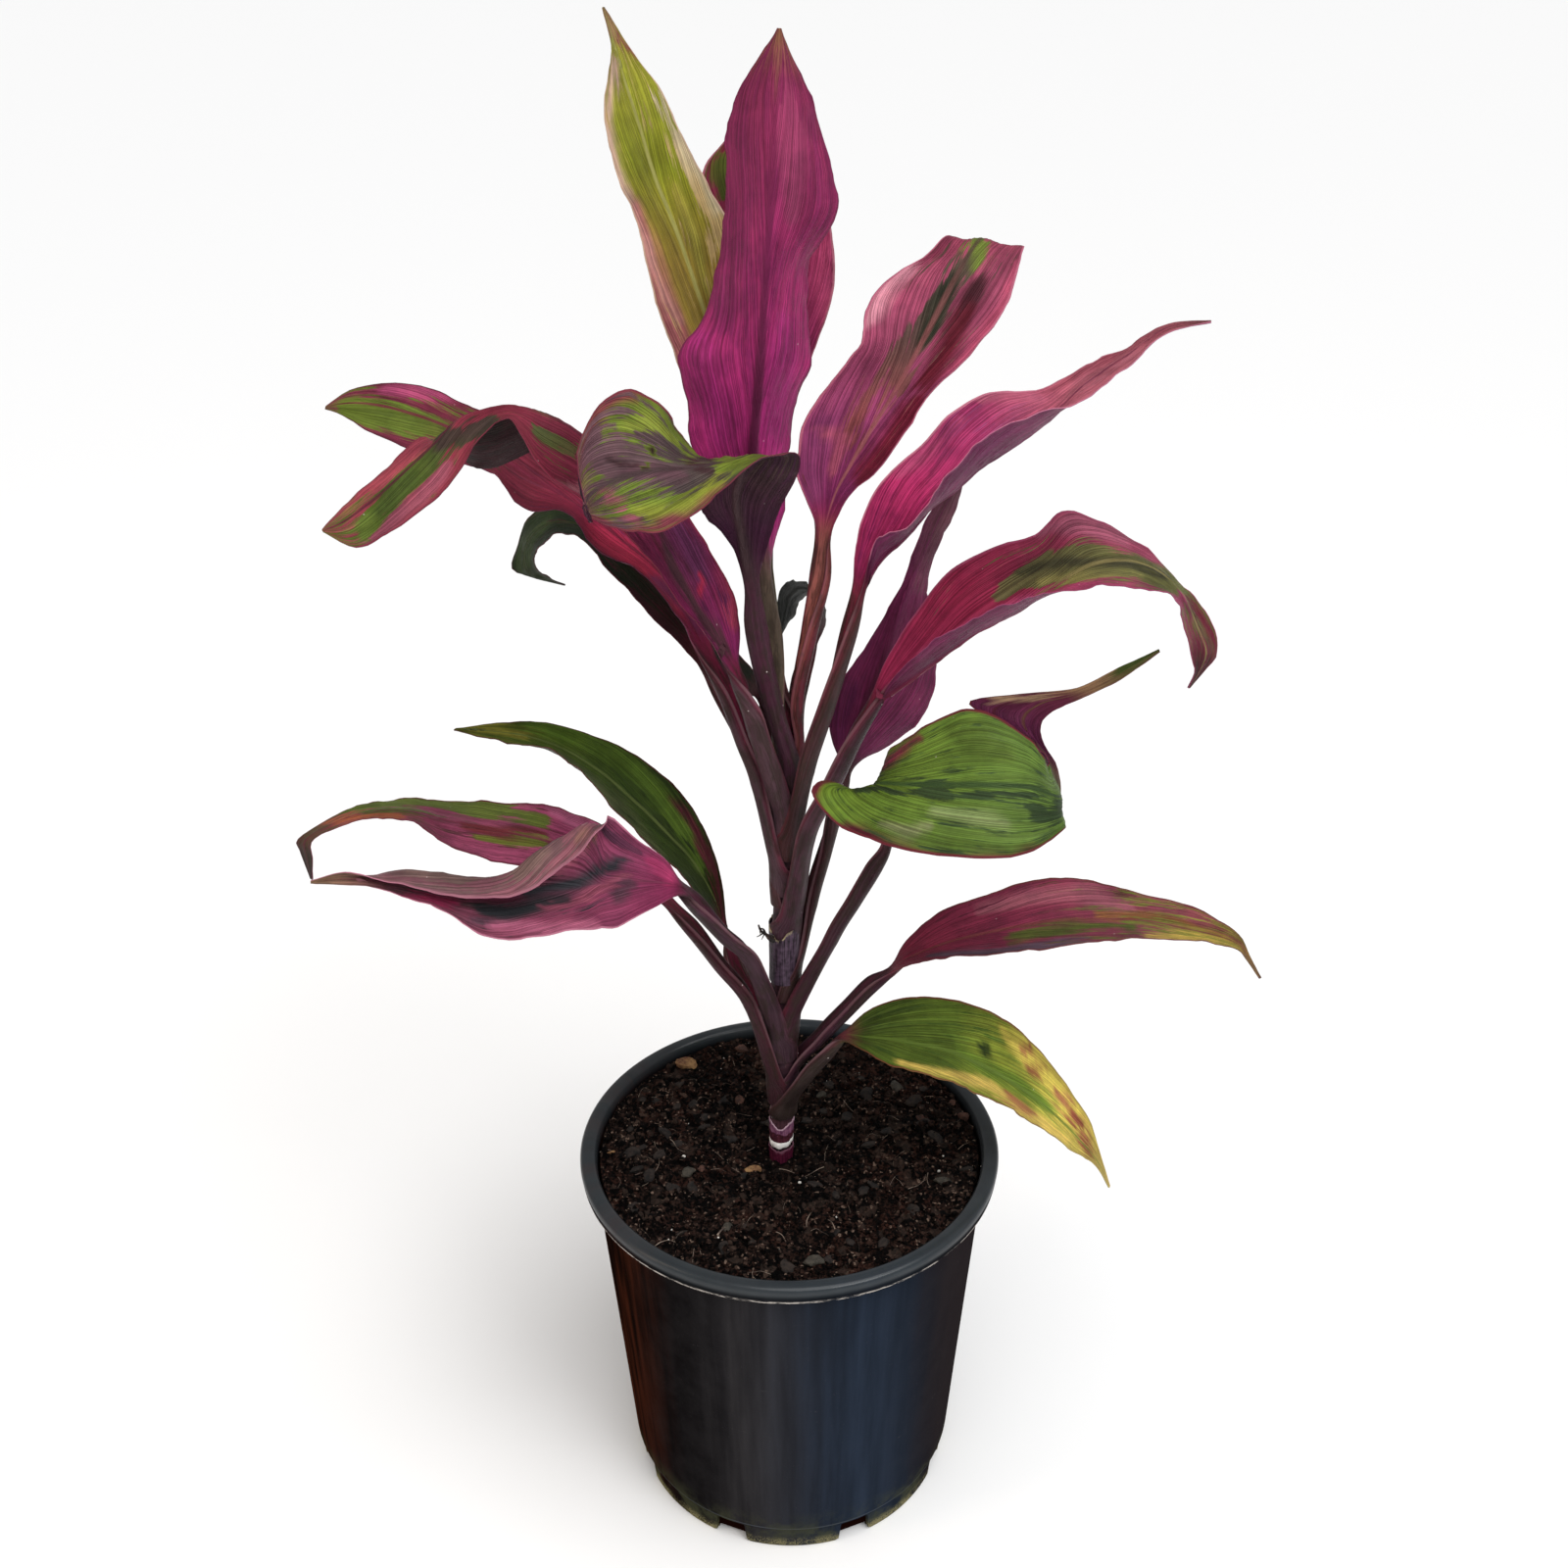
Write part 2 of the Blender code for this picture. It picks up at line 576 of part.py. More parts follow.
leaf(
    "leaf_left_behind", PINK, -170.0, 340.0,
    [(775, 800, -2), (759, 755, 0), (741, 705, 4)],
    [
        ((713, 668, 4), (720, 664, 8), (727, 660, 11)),
        ((694, 632, 2), (697, 620, 11), (722, 612, 22)),
        ((658, 588, -2), (672, 583, 14), (700, 560, 28)),
        ((606, 558, -4), (628, 545, 18), (660, 515, 34)),
        ((580, 523, 0), (585, 512, 22), (615, 475, 38)),
        ((537, 520, 4), (545, 488, 26), (565, 445, 42)),
        ((503, 484, 8), (500, 460, 29), (520, 428, 46)),
        ((460, 470, 12), (455, 435, 30), (478, 414, 46)),
        ((412, 455, 14), (412, 420, 30), (432, 394, 42)),
        ((375, 440, 18), (376, 412, 28), (392, 391, 36)),
        ((350, 424, 22), (350, 412, 26), (357, 398, 30)),
    ],
    (332, 416, 24), wide=4.4, root=3.8,
)
leaf(
    "leaf_left_dark", DARK, 118.0, 334.0,
    [(781, 800, 12), (760, 750, 15), (739, 710, 18)],
    [
        ((717, 686, 18), (722, 681, 20), (728, 677, 22)),
        ((698, 662, 22), (708, 650, 28), (722, 640, 36)),
        ((660, 624, 24), (675, 605, 36), (695, 585, 48)),
        ((620, 580, 30), (640, 565, 44), (665, 545, 58)),
        ((592, 549, 38), (605, 540, 52), (620, 515, 68)),
        ((568, 545, 46), (570, 532, 60), (572, 512, 74)),
        ((553, 556, 52), (545, 545, 66), (540, 527, 78)),
        ((546, 567, 56), (536, 563, 68), (528, 557, 78)),
        ((552, 585, 58), (540, 585, 66), (526, 583, 74)),
    ],
    (576, 597, 62), wide=3.6, root=3.2,
)
leaf(
    "leaf_back_left", DARK, 88.0, 352.0,
    [(795, 765, 17), (786, 733, 23)],
    [
        ((771, 712, 26), (775, 708, 26), (779, 704, 27)),
        ((752, 702, 38), (757, 690, 43), (770, 672, 47)),
        ((732, 684, 56), (739, 668, 61), (752, 644, 65)),
        ((712, 660, 74), (722, 645, 79), (736, 620, 82)),
        ((694, 636, 90), (705, 622, 94), (717, 600, 96)),
        ((682, 614, 101), (690, 605, 103), (700, 588, 104)),
    ],
    (676, 592, 109), wide=3.4, root=3.2,
)
leaf(
    "leaf_back_small", DARK, 35.0, 366.0,
    [(815, 735, 13), (823, 692, 19)],
    [
        ((824, 658, 26), (829, 657, 27), (835, 656, 28)),
        ((825, 626, 40), (834, 628, 44), (842, 636, 50)),
        ((823, 598, 56), (831, 603, 60), (841, 614, 68)),
        ((809, 592, 72), (817, 599, 78), (827, 607, 86)),
        ((796, 602, 84), (805, 610, 91), (815, 616, 100)),
        ((793, 622, 92), (800, 628, 98), (807, 632, 106)),
    ],
    (796, 649, 102), wide=3.0, root=2.6,
)
leaf(
    "leaf_right_arched", PINK, -42.0, 314.0,
    [(822, 856, -14), (846, 806, -17), (870, 755, -20)],
    [
        ((888, 712, -18), (893, 716, -22), (899, 708, -25)),
        ((905, 672, -16), (912, 702, -24), (918, 684, -32)),
        ((928, 635, -10), (945, 678, -26), (948, 658, -40)),
        ((965, 586, -8), (990, 646, -25), (992, 632, -42)),
        ((1012, 559, -6), (1035, 622, -24), (1035, 614, -44)),
        ((1055, 546, -4), (1075, 598, -24), (1075, 605, -44)),
        ((1085, 522, 0), (1115, 576, -22), (1115, 599, -44)),
        ((1130, 535, 0), (1152, 572, -22), (1150, 599, -42)),
        ((1170, 561, -2), (1185, 585, -20), (1183, 604, -38)),
        ((1207, 597, -6), (1208, 608, -22), (1203, 614, -36)),
        ((1232, 628, -12), (1222, 640, -24), (1207, 640, -34)),
        ((1244, 662, -16), (1230, 664, -24), (1215, 665, -31)),
        ((1230, 683, -21), (1224, 684, -24), (1219, 684, -27)),
    ],
    (1213, 702, -24), wide=4.8, root=4.0, steps=28,
)
leaf(
    "leaf_right_behind", MAGENTA, 18.0, 284.0,
    [(826, 920, 6), (840, 870, 9), (852, 825, 12)],
    [
        ((858, 788, 15), (863, 785, 16), (869, 783, 17)),
        ((846, 742, 20), (872, 750, 17), (912, 758, 26)),
        ((856, 700, 24), (888, 708, 19), (948, 720, 32)),
        ((882, 662, 28), (903, 668, 25), (955, 672, 38)),
        ((902, 628, 32), (916, 630, 31), (948, 625, 42)),
        ((922, 592, 36), (928, 595, 37), (947, 595, 44)),
        ((933, 560, 38), (942, 562, 41), (957, 556, 46)),
        ((948, 525, 42), (958, 528, 44), (975, 522, 48)),
    ],
    (985, 475, 46), wide=3.8, root=3.6, face=-1,
)
leaf(
    "leaf_right_green", GREEN, -38.0, 258.0,
    [(842, 958, -12), (868, 918, -14), (893, 885, -16)],
    [
        ((900, 857, -19), (905, 856, -18), (910, 857, -17)),
        ((878, 822, -26), (902, 829, -24), (914, 815, -20)),
        ((849, 796, -36), (897, 812, -31), (909, 794, -24)),
        ((828, 806, -46), (890, 801, -38), (904, 772, -26)),
        ((844, 832, -56), (905, 799, -45), (918, 757, -30)),
        ((873, 851, -66), (928, 800, -53), (944, 742, -35)),
        ((919, 866, -77), (966, 801, -62), (985, 723, -40)),
        ((988, 876, -84), (1010, 801, -68), (1022, 734, -44)),
        ((1048, 871, -84), (1050, 803, -68), (1054, 758, -48)),
        ((1087, 845, -73), (1081, 813, -62), (1069, 782, -48)),
        ((1080, 838, -48), (1078, 800, -44), (1064, 768, -40)),
        ((1082, 792, -32), (1064, 768, -29), (1034, 742, -25)),
        ((1062, 750, -23), (1044, 737, -20), (988, 717, -14)),
        ((1070, 729, -20), (1060, 719, -17), (1040, 708, -13)),
        ((1101, 714, -20), (1099, 708, -18), (1098, 702, -16)),
        ((1143, 694, -22), (1141, 688, -20), (1140, 682, -18)),
    ],
    (1183, 664, -22), wide=3.4, root=3.2, face=-1, steps=30,
)
leaf(
    "leaf_left_green", GREEN, 125.0, 240.0,
    [(778, 1028, 12), (762, 1008, 15), (749, 982, 18)],
    [
        ((735, 948, 22), (738, 946, 22), (742, 944, 23)),
        ((722, 924, 14), (729, 916, 25), (738, 908, 28)),
        ((695, 893, 12), (708, 880, 30), (728, 868, 38)),
        ((655, 855, 10), (674, 843, 34), (705, 822, 48)),
        ((622, 820, 10), (642, 813, 38), (672, 787, 54)),
        ((592, 787, 12), (612, 787, 40), (635, 763, 54)),
        ((562, 765, 16), (577, 766, 40), (595, 747, 50)),
        ((525, 759, 24), (541, 752, 38), (555, 737, 44)),
        ((490, 752, 30), (500, 746, 36), (512, 737, 38)),
    ],
    (464, 744, 34), wide=3.2, root=3.2,
)
leaf(
    "leaf_left_long", PINK, -160.0, 224.0,
    [(767, 1025, -6), (735, 983, -9), (708, 948, -12)],
    [
        ((676, 922, -15), (680, 918, -13), (684, 914, -10)),
        ((640, 906, -20), (646, 888, -10), (650, 866, 2)),
        ((590, 900, -26), (600, 872, -8), (610, 840, 12)),
        ((540, 886, -28), (550, 856, -8), (560, 822, 16)),
        ((490, 875, -28), (500, 846, -8), (508, 819, 16)),
        ((452, 859, -26), (457, 838, -10), (460, 817, 12)),
        ((415, 837, -22), (418, 827, -12), (417, 815, 6)),
        ((375, 836, -20), (375, 829, -13), (375, 820, -2)),
        ((340, 846, -18), (338, 841, -14), (338, 834, -8)),
        ((318, 859, -19), (312, 857, -16), (305, 856, -12)),
        ((319, 876, -19), (313, 873, -17), (306, 868, -14)),
    ],
    (318, 897, -18), wide=3.6, root=3.6,
)
leaf(
    "leaf_left_twisted", PINK, -142.0, 250.0,
    [(768, 982, -18), (740, 954, -24), (712, 924, -30)],
    [
        ((694, 914, -36), (695, 909, -35), (694, 906, -34), (694, 902, -33), (693, 898, -31)),
        ((668, 926, -48), (672, 914, -42), (672, 900, -36), (676, 886, -31), (679, 876, -26)),
        ((632, 945, -62), (636, 925, -50), (638, 898, -38), (646, 876, -30), (654, 860, -24)),
        ((612, 947, -65), (614, 927, -52), (617, 901, -39), (619, 868, -32), (624, 833, -28)),
        ((603, 948, -67), (604, 929, -53), (606, 902, -40), (608, 849, -33), (617, 842, -39)),
        ((592, 949, -68), (594, 930, -54), (595, 904, -41), (595, 843, -35), (607, 852, -45)),
        ((570, 952, -69), (571, 933, -57), (573, 908, -43), (575, 853, -36), (588, 873, -49)),
        ((540, 957, -69), (541, 938, -58), (543, 913, -45), (546, 870, -39), (562, 894, -53)),
        ((510, 959, -68), (511, 941, -58), (514, 917, -47), (520, 890, -42), (535, 911, -57)),
        ((482, 949, -63), (481, 935, -56), (482, 916, -49), (488, 896, -44), (496, 917, -58)),
        ((446, 926, -58), (445, 920, -54), (444, 909, -49), (447, 890, -45), (450, 912, -58)),
        ((410, 915, -54), (409, 910, -51), (408, 902, -48), (408, 888, -45), (411, 903, -56)),
        ((378, 905, -51), (378, 902, -50), (378, 899, -49), (377, 894, -47), (378, 895, -53)),
        ((350, 903, -49), (350, 900, -49), (349, 897, -48), (349, 893, -48), (350, 890, -49)),
    ],
    (317, 900, -48), wide=4.8, root=4.0, steps=34,
)
leaf(
    "leaf_right_low", PINK, 4.0, 226.0,
    [(838, 1056, -4), (865, 1028, -9), (888, 1005, -13)],
    [
        ((904, 996, -16), (907, 991, -14), (909, 986, -12)),
        ((925, 986, -24), (926, 977, -17), (925, 960, -8)),
        ((960, 978, -34), (965, 962, -19), (958, 931, -4)),
        ((1010, 974, -42), (1015, 950, -20), (1010, 912, 2)),
        ((1060, 969, -46), (1065, 941, -21), (1060, 897, 4)),
        ((1110, 962, -46), (1115, 938, -22), (1110, 898, 2)),
        ((1160, 958, -44), (1163, 939, -22), (1160, 911, -2)),
        ((1205, 959, -40), (1207, 947, -24), (1207, 922, -8)),
        ((1240, 963, -34), (1242, 955, -25), (1243, 938, -15)),
        ((1262, 969, -28), (1264, 964, -25), (1266, 956, -21)),
        ((1271, 978, -26), (1273, 976, -25), (1275, 975, -24)),
    ],
    (1286, 998, -24), wide=4.0, root=3.8, face=-1,
)
leaf(
    "leaf_right_lowest", GREEN, -48.0, 208.0,
    [(822, 1098, -10), (843, 1074, -12)],
    [
        ((857, 1062, -16), (860, 1057, -14), (862, 1052, -12)),
        ((882, 1073, -22), (885, 1058, -14), (884, 1032, -6)),
        ((915, 1089, -32), (920, 1062, -14), (918, 1019, 2)),
        ((955, 1099, -38), (965, 1072, -16), (960, 1018, 6)),
        ((998, 1116, -40), (1008, 1090, -18), (1008, 1031, 6)),
        ((1038, 1136, -40), (1047, 1114, -20), (1048, 1058, 2)),
        ((1072, 1158, -37), (1079, 1140, -22), (1083, 1100, -6)),
        ((1100, 1178, -32), (1104, 1166, -24), (1110, 1140, -14)),
        ((1118, 1190, -28), (1120, 1186, -25), (1122, 1175, -21)),
    ],
    (1132, 1211, -24), wide=3.6, root=3.6, face=-1,
)
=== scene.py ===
# %% [markdown]
# # A ti plant in a black nursery pot
#
# A ti plant grows long strap-shaped leaves on stalks that wrap one upright cane. This one has
# nineteen leaves in magenta, pink and green, and stands in potting mix in a black moulded pot.
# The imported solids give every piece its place. Here the plain solids are replaced by finer
# pieces of the same form, and each surface gets its own material.

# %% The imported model
import math
import random

import bpy
import numpy as np
from mathutils import Matrix, Vector, noise


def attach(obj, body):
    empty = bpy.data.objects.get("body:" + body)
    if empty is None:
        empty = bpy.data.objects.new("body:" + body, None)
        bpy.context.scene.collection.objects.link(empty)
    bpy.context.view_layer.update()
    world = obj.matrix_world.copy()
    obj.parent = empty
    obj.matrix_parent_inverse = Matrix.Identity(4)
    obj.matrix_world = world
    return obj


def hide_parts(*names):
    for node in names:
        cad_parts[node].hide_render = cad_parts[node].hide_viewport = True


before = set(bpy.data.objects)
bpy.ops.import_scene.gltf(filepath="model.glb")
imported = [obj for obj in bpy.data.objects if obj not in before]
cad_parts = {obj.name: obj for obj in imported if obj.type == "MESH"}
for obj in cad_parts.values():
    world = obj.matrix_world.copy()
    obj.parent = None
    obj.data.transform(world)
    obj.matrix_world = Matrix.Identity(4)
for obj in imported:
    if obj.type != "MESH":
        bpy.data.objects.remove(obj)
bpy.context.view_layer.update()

# %% [markdown]
# ## Units and small helpers
#
# The tables below are in millimetres, as a gardener would measure a plant, and meshes are in
# metres. Operators act on everything that is selected, so each piece starts with nothing
# selected.

# %% Helpers
MM = 0.001
TOUCHING = 0.01 * MM      # points closer than this are one point


def select_nothing():
    bpy.ops.object.select_all(action="DESELECT")


def select_only(*pieces):
    """Selects the pieces and makes the first one active."""
    select_nothing()
    for piece in pieces:
        piece.select_set(True)
    bpy.context.view_layer.objects.active = pieces[0]


def settle(piece):
    """Puts a piece's place, turn and size into its mesh."""
    select_only(piece)
    bpy.ops.object.transform_apply(location=True, rotation=True, scale=True)


def named(name):
    """Names the piece that the last operator made."""
    piece = bpy.context.object
    piece.name = name
    return piece


def mend(piece, close=False):
    """Merges points that touch, closes holes if asked to, and turns the faces outwards."""
    select_only(piece)
    bpy.ops.object.mode_set(mode="EDIT")
    bpy.ops.mesh.select_all(action="SELECT")
    bpy.ops.mesh.remove_doubles(threshold=TOUCHING)
    if close:
        bpy.ops.mesh.fill_holes(sides=0)
    bpy.ops.mesh.normals_make_consistent(inside=False)
    bpy.ops.object.mode_set(mode="OBJECT")


def apply_modifier(piece, kind, **settings):
    """Adds one modifier, sets it and applies it."""
    select_only(piece)
    modifier = piece.modifiers.new(kind.title(), kind)
    for name, value in settings.items():
        setattr(modifier, name, value)
    bpy.ops.object.modifier_apply(modifier=modifier.name)


def smooth(piece, degrees):
    select_only(piece)
    bpy.ops.object.shade_smooth_by_angle(angle=math.radians(degrees))


def join(name, pieces, degrees):
    """Makes one named piece of several, smooth up to an angle between faces."""
    select_only(*pieces)
    bpy.ops.object.join()
    joined = named(name)
    settle(joined)
    smooth(joined, degrees)
    return joined


def dress(piece, look, slot, *nodes):
    """Gives a piece its material, its body and the solids that it stands for."""
    piece.data.materials.clear()
    piece.data.materials.append(look)
    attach(piece, "root")
    if nodes:
        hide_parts(*nodes)


def triangles(piece):
    return sum(len(face.vertices) - 2 for face in piece.data.polygons)


# %% [markdown]
# ## Colours
#
# Colours are picked as on a paint card, in the 0 to 255 steps that a screen uses. The
# shaders work in linear light, so paint() converts each one where it is used.

# %% Colours
SHADE = 0.80             # the studio light is bright, so the paints are a little darker


def paint(red, green, blue):
    """A screen colour in 0 to 255 steps, as linear light."""
    parts = [value / 255.0 for value in (red, green, blue)]
    linear = [part / 12.92 if part <= 0.04045 else ((part + 0.055) / 1.055) ** 2.4 for part in parts]
    return tuple(value * SHADE for value in linear)


OLIVE = (112, 118, 44)
GREY_GREEN = (84, 88, 74)
MAGENTA = (136, 24, 94)
PURPLE = (96, 30, 82)
DULL_PURPLE = (84, 44, 74)
DUSTY_PINK = (160, 96, 112)
MAROON = (84, 24, 38)
RED_MAROON = (128, 30, 58)
OCHRE = (168, 128, 60)
TAN = (166, 132, 92)
BROWN = (92, 62, 44)
STALK_BROWN = (70, 40, 40)
STALK_GREY = (80, 54, 62)
print("magenta as linear light:", [round(value, 3) for value in paint(*MAGENTA)])

# %% [markdown]
# ## Shader maths
#
# A material is a net of nodes. Writing its sums as expressions keeps it readable: the small
# class below wraps a socket, so `1 - mask` or `veins * 0.3` adds the Math node that does it.

# %% Shader maths
class Value:
    """A node's output that sums can be written with."""

    def __init__(self, look, socket):
        self.look = look
        self.socket = socket

    def __add__(self, other):
        return self.look.maths("ADD", self, other)

    def __radd__(self, other):
        return self.look.maths("ADD", other, self)

    def __sub__(self, other):
        return self.look.maths("SUBTRACT", self, other)

    def __rsub__(self, other):
        return self.look.maths("SUBTRACT", other, self)

    def __mul__(self, other):
        return self.look.maths("MULTIPLY", self, other)

    def __rmul__(self, other):
        return self.look.maths("MULTIPLY", other, self)


class Look:
    """A material, its shader and the ways to add nodes to it."""

    def __init__(self, name):
        self.material = bpy.data.materials.new(name)
        self.material.use_nodes = True
        self.tree = self.material.node_tree
        self.shader = self.tree.nodes["Principled BSDF"]
        self.colour = None

    def feed(self, socket, value):
        if isinstance(value, Value):
            self.tree.links.new(value.socket, socket)
        else:
            socket.default_value = value

    def node(self, kind, settings=None, sockets=None, out=0):
        """Adds a node, sets it first, then fills its sockets with numbers or links."""
        made = self.tree.nodes.new(kind)
        for name, value in (settings or {}).items():
            setattr(made, name, value)
        for key, value in (sockets or {}).items():
            self.feed(made.inputs[key], value)
        return Value(self, made.outputs[out])

    def maths(self, operation, first, second=0.0):
        return self.node("ShaderNodeMath", {"operation": operation}, {0: first, 1: second})

    def vector(self, x, y, z):
        return self.node("ShaderNodeCombineXYZ", {}, {0: x, 1: y, 2: z})

    def parts(self, vector):
        """The three numbers of a vector."""
        first = self.node("ShaderNodeSeparateXYZ", {}, {0: vector})
        outputs = first.socket.node.outputs
        return [Value(self, outputs[k]) for k in range(3)]

    def noise(self, place, scale, detail=2.0, rough=0.5):
        sockets = {"Vector": place, "Scale": scale, "Detail": detail, "Roughness": rough}
        return self.node("ShaderNodeTexNoise", {}, sockets)

    def stretched(self, x, y, z, detail, rough):
        """Noise read at three numbers, each of which has its own scale already."""
        return self.noise(self.vector(x, y, z), 1.0, detail, rough)

    def cells(self, place, scale, out):
        """A cell pattern: output 0 is the distance to a cell's middle, 1 is the cell's own colour."""
        return self.node("ShaderNodeTexVoronoi", {}, {"Vector": place, "Scale": scale}, out)

    def cell_tone(self, place, scale):
        """One number between 0 and 1 for each cell."""
        return self.parts(self.cells(place, scale, 1))[0]

    def ramp(self, value, low, high):
        """0 below low, 1 above high and a smooth step between them."""
        settings = {"interpolation_type": "SMOOTHSTEP"}
        return self.node("ShaderNodeMapRange", settings, {"Value": value, "From Min": low, "From Max": high})

    def mix(self, share, first, second, way="MIX"):
        settings = {"data_type": "RGBA", "blend_type": way}
        mixed = self.node("ShaderNodeMix", settings, out=2)
        inputs = mixed.socket.node.inputs
        for index, value in ((0, share), (6, first), (7, second)):
            if index and not isinstance(value, Value):
                value = (*value, 1.0)
            self.feed(inputs[index], value)
        return mixed

    def lay(self, share, colour, way="MIX"):
        """Lays a share of a colour over the colour that the surface has so far."""
        self.colour = self.mix(share, self.colour, colour, way)

    def attribute(self, name, out):
        return self.node("ShaderNodeAttribute", {"attribute_name": name}, out=out)

    def place(self):
        """Object coordinates, in metres."""
        return self.node("ShaderNodeTexCoord", out=3)

    def bump(self, height, distance, strength=1.0):
        sockets = {"Height": height, "Distance": distance, "Strength": strength}
        self.feed(self.shader.inputs["Normal"], self.node("ShaderNodeBump", {}, sockets))

    def finish(self, **sockets):
        """Fills the shader's own sockets, named with underscores for spaces."""
        for name, value in sockets.items():
            key = name.replace("_", " ")
            if isinstance(value, tuple):
                value = (*value, 1.0)
            self.feed(self.shader.inputs[key], value)
        return self.material


# %% [markdown]
# ## Camera, light and floor
#
# The photograph looks down on the plant at 27.5 degrees from close by. The same camera is set
# up here, so the two can be laid over each other. The floor is plain and pale and reaches past
# the view. A wide sky light from above and in front makes the soft shade of a studio, and two
# softboxes give the rim and the leaves their highlights.

# %% Camera
VIEW_BACK = 639.0
VIEW_HIGH = 716.0
VIEW_PITCH = math.radians(27.5)
SHEET_ROLL = math.radians(-0.52)
SHEET_MID_U = 802.0
SHEET_MID_V = 800.0
SHEET_FOCAL = 1709.0
SHEET_SIZE = 1600.0
SENSOR = 36.0            # the camera's picture width, in millimetres

FORWARD = Vector((0.0, math.cos(VIEW_PITCH), -math.sin(VIEW_PITCH)))
LEVEL = Vector((1.0, 0.0, 0.0))
UPWARD = LEVEL.cross(FORWARD)
RIGHT = LEVEL * math.cos(SHEET_ROLL) + UPWARD * math.sin(SHEET_ROLL)
UP = UPWARD * math.cos(SHEET_ROLL) - LEVEL * math.sin(SHEET_ROLL)
EYE = Vector((0.0, -VIEW_BACK, VIEW_HIGH))

select_nothing()
bpy.ops.object.camera_add()
camera = named("camera")
turn = Matrix((RIGHT, UP, -FORWARD)).transposed().to_4x4()
camera.matrix_world = Matrix.Translation(EYE * MM) @ turn
camera.data.sensor_width = SENSOR
camera.data.lens = SHEET_FOCAL / SHEET_SIZE * SENSOR
camera.data.shift_x = (SHEET_SIZE / 2.0 - SHEET_MID_U) / SHEET_SIZE
camera.data.clip_start = 0.02
camera.data.clip_end = 60.0
bpy.context.scene.camera = camera
print("lens:", round(camera.data.lens, 2), "mm")


# %% Light and floor
def add_softbox(name, place, target, size, power, colour=(1.0, 1.0, 1.0)):
    """A rectangular light at a place, facing a target."""
    select_nothing()
    bpy.ops.object.light_add(type="AREA", location=place)
    light = named(name)
    light.data.shape = "RECTANGLE"
    light.data.size, light.data.size_y = size
    light.data.energy = power
    light.data.color = colour
    light.rotation_euler = (Vector(target) - Vector(place)).to_track_quat("-Z", "Y").to_euler()
    return light


world = bpy.data.worlds.new("studio")
bpy.context.scene.world = world
world.use_nodes = True
world.node_tree.nodes["Background"].inputs["Color"].default_value = (1.0, 1.0, 1.0, 1.0)
world.node_tree.nodes["Background"].inputs["Strength"].default_value = 0.42
bpy.context.scene.view_settings.view_transform = "Standard"
add_softbox("key_light", (0.9, -1.1, 1.7), (0.0, 0.0, 0.35), (0.7, 0.7), 7.0)
add_softbox("fill_light", (-1.3, -0.5, 0.9), (0.0, 0.0, 0.30), (0.4, 1.4), 4.0, (1.0, 0.80, 0.62))

select_nothing()
bpy.ops.object.light_add(type="SUN", location=(0.4, -0.8, 2.0))
sky_light = named("sky_light")
sky_light.data.energy = 2.15
sky_light.data.angle = math.radians(55.0)
sky_light.rotation_euler = Vector((0.30, -0.42, 1.0)).to_track_quat("Z", "Y").to_euler()

select_nothing()
bpy.ops.mesh.primitive_plane_add(size=60.0)
floor = named("floor")
floor_look = Look("floor_paper")
grain = floor_look.noise(floor_look.place(), 300.0, 3.0)
paper = floor_look.mix(grain * 0.03, (0.96, 0.96, 0.96), (0.90, 0.90, 0.90))
floor_look.finish(Base_Color=paper, Roughness=0.9)
floor.data.materials.append(floor_look.material)

# %% [markdown]
# ## How a leaf is drawn
#
# A ti leaf is a thin sheet: a sheath round the stem, a stalk with a channel, and a long blade
# with a midrib. It could be sculpted, or a flat strip could be bent with curves. Here its cross
# sections are drawn on a square sheet, as the viewer in front of the plant sees them, and each
# point also gets a depth. A sheet point and a depth give one place in space, so the outline
# stays the same when a depth is corrected.

# %% Sheet points and the stem
def sight(u, v, depth):
    """The point at a depth on the line of sight through a sheet point, in millimetres."""
    ray = FORWARD + RIGHT * ((u - SHEET_MID_U) / SHEET_FOCAL) - UP * ((v - SHEET_MID_V) / SHEET_FOCAL)
    return EYE + ray * ((depth + VIEW_BACK) / ray.y)


def on_sheet(points):
    """The sheet points where the viewer sees an array of points in space."""
    rays = points - np.array(EYE)
    ahead = rays @ np.array(FORWARD)
    u = SHEET_MID_U + SHEET_FOCAL * (rays @ np.array(RIGHT)) / ahead
    v = SHEET_MID_V - SHEET_FOCAL * (rays @ np.array(UP)) / ahead
    return np.stack((u, v), axis=-1)


SOIL_LEVEL = 181.0
STEM_FOOT_X = -4.0
STEM_LEAN = math.radians(1.3)
STEM_MARKS = (
    (150.0, 5.6), (200.0, 5.5), (240.0, 5.9), (310.0, 6.0), (360.0, 5.0), (385.0, 4.2), (410.0, 3.8),
)


def stem_centre(height):
    return Vector((STEM_FOOT_X + (height - SOIL_LEVEL) * math.tan(STEM_LEAN), 0.0, height))


def stem_radius(height):
    heights, radii = zip(*STEM_MARKS)
    return float(np.interp(height, heights, radii))


print("a sheet point in the middle, at depth 0:", [round(value) for value in sight(800, 800, 0)])

# %% [markdown]
# ## The rows of a leaf
#
# Each row is five points across the leaf. Two rows wrap the stem, the next ones follow the
# stalk, and the blade's rows come from the tables. A row of three points (edge, midrib, edge)
# gets the two between them with a slight bow, as a blade is cupped beside its midrib.

# %% Rows
GAP = 0.3
CHANNEL = 0.5
SHEATH_RISE = 8.0
SHOULDER = 0.66          # where the stalk's second and fourth points lie, as a share of its half width


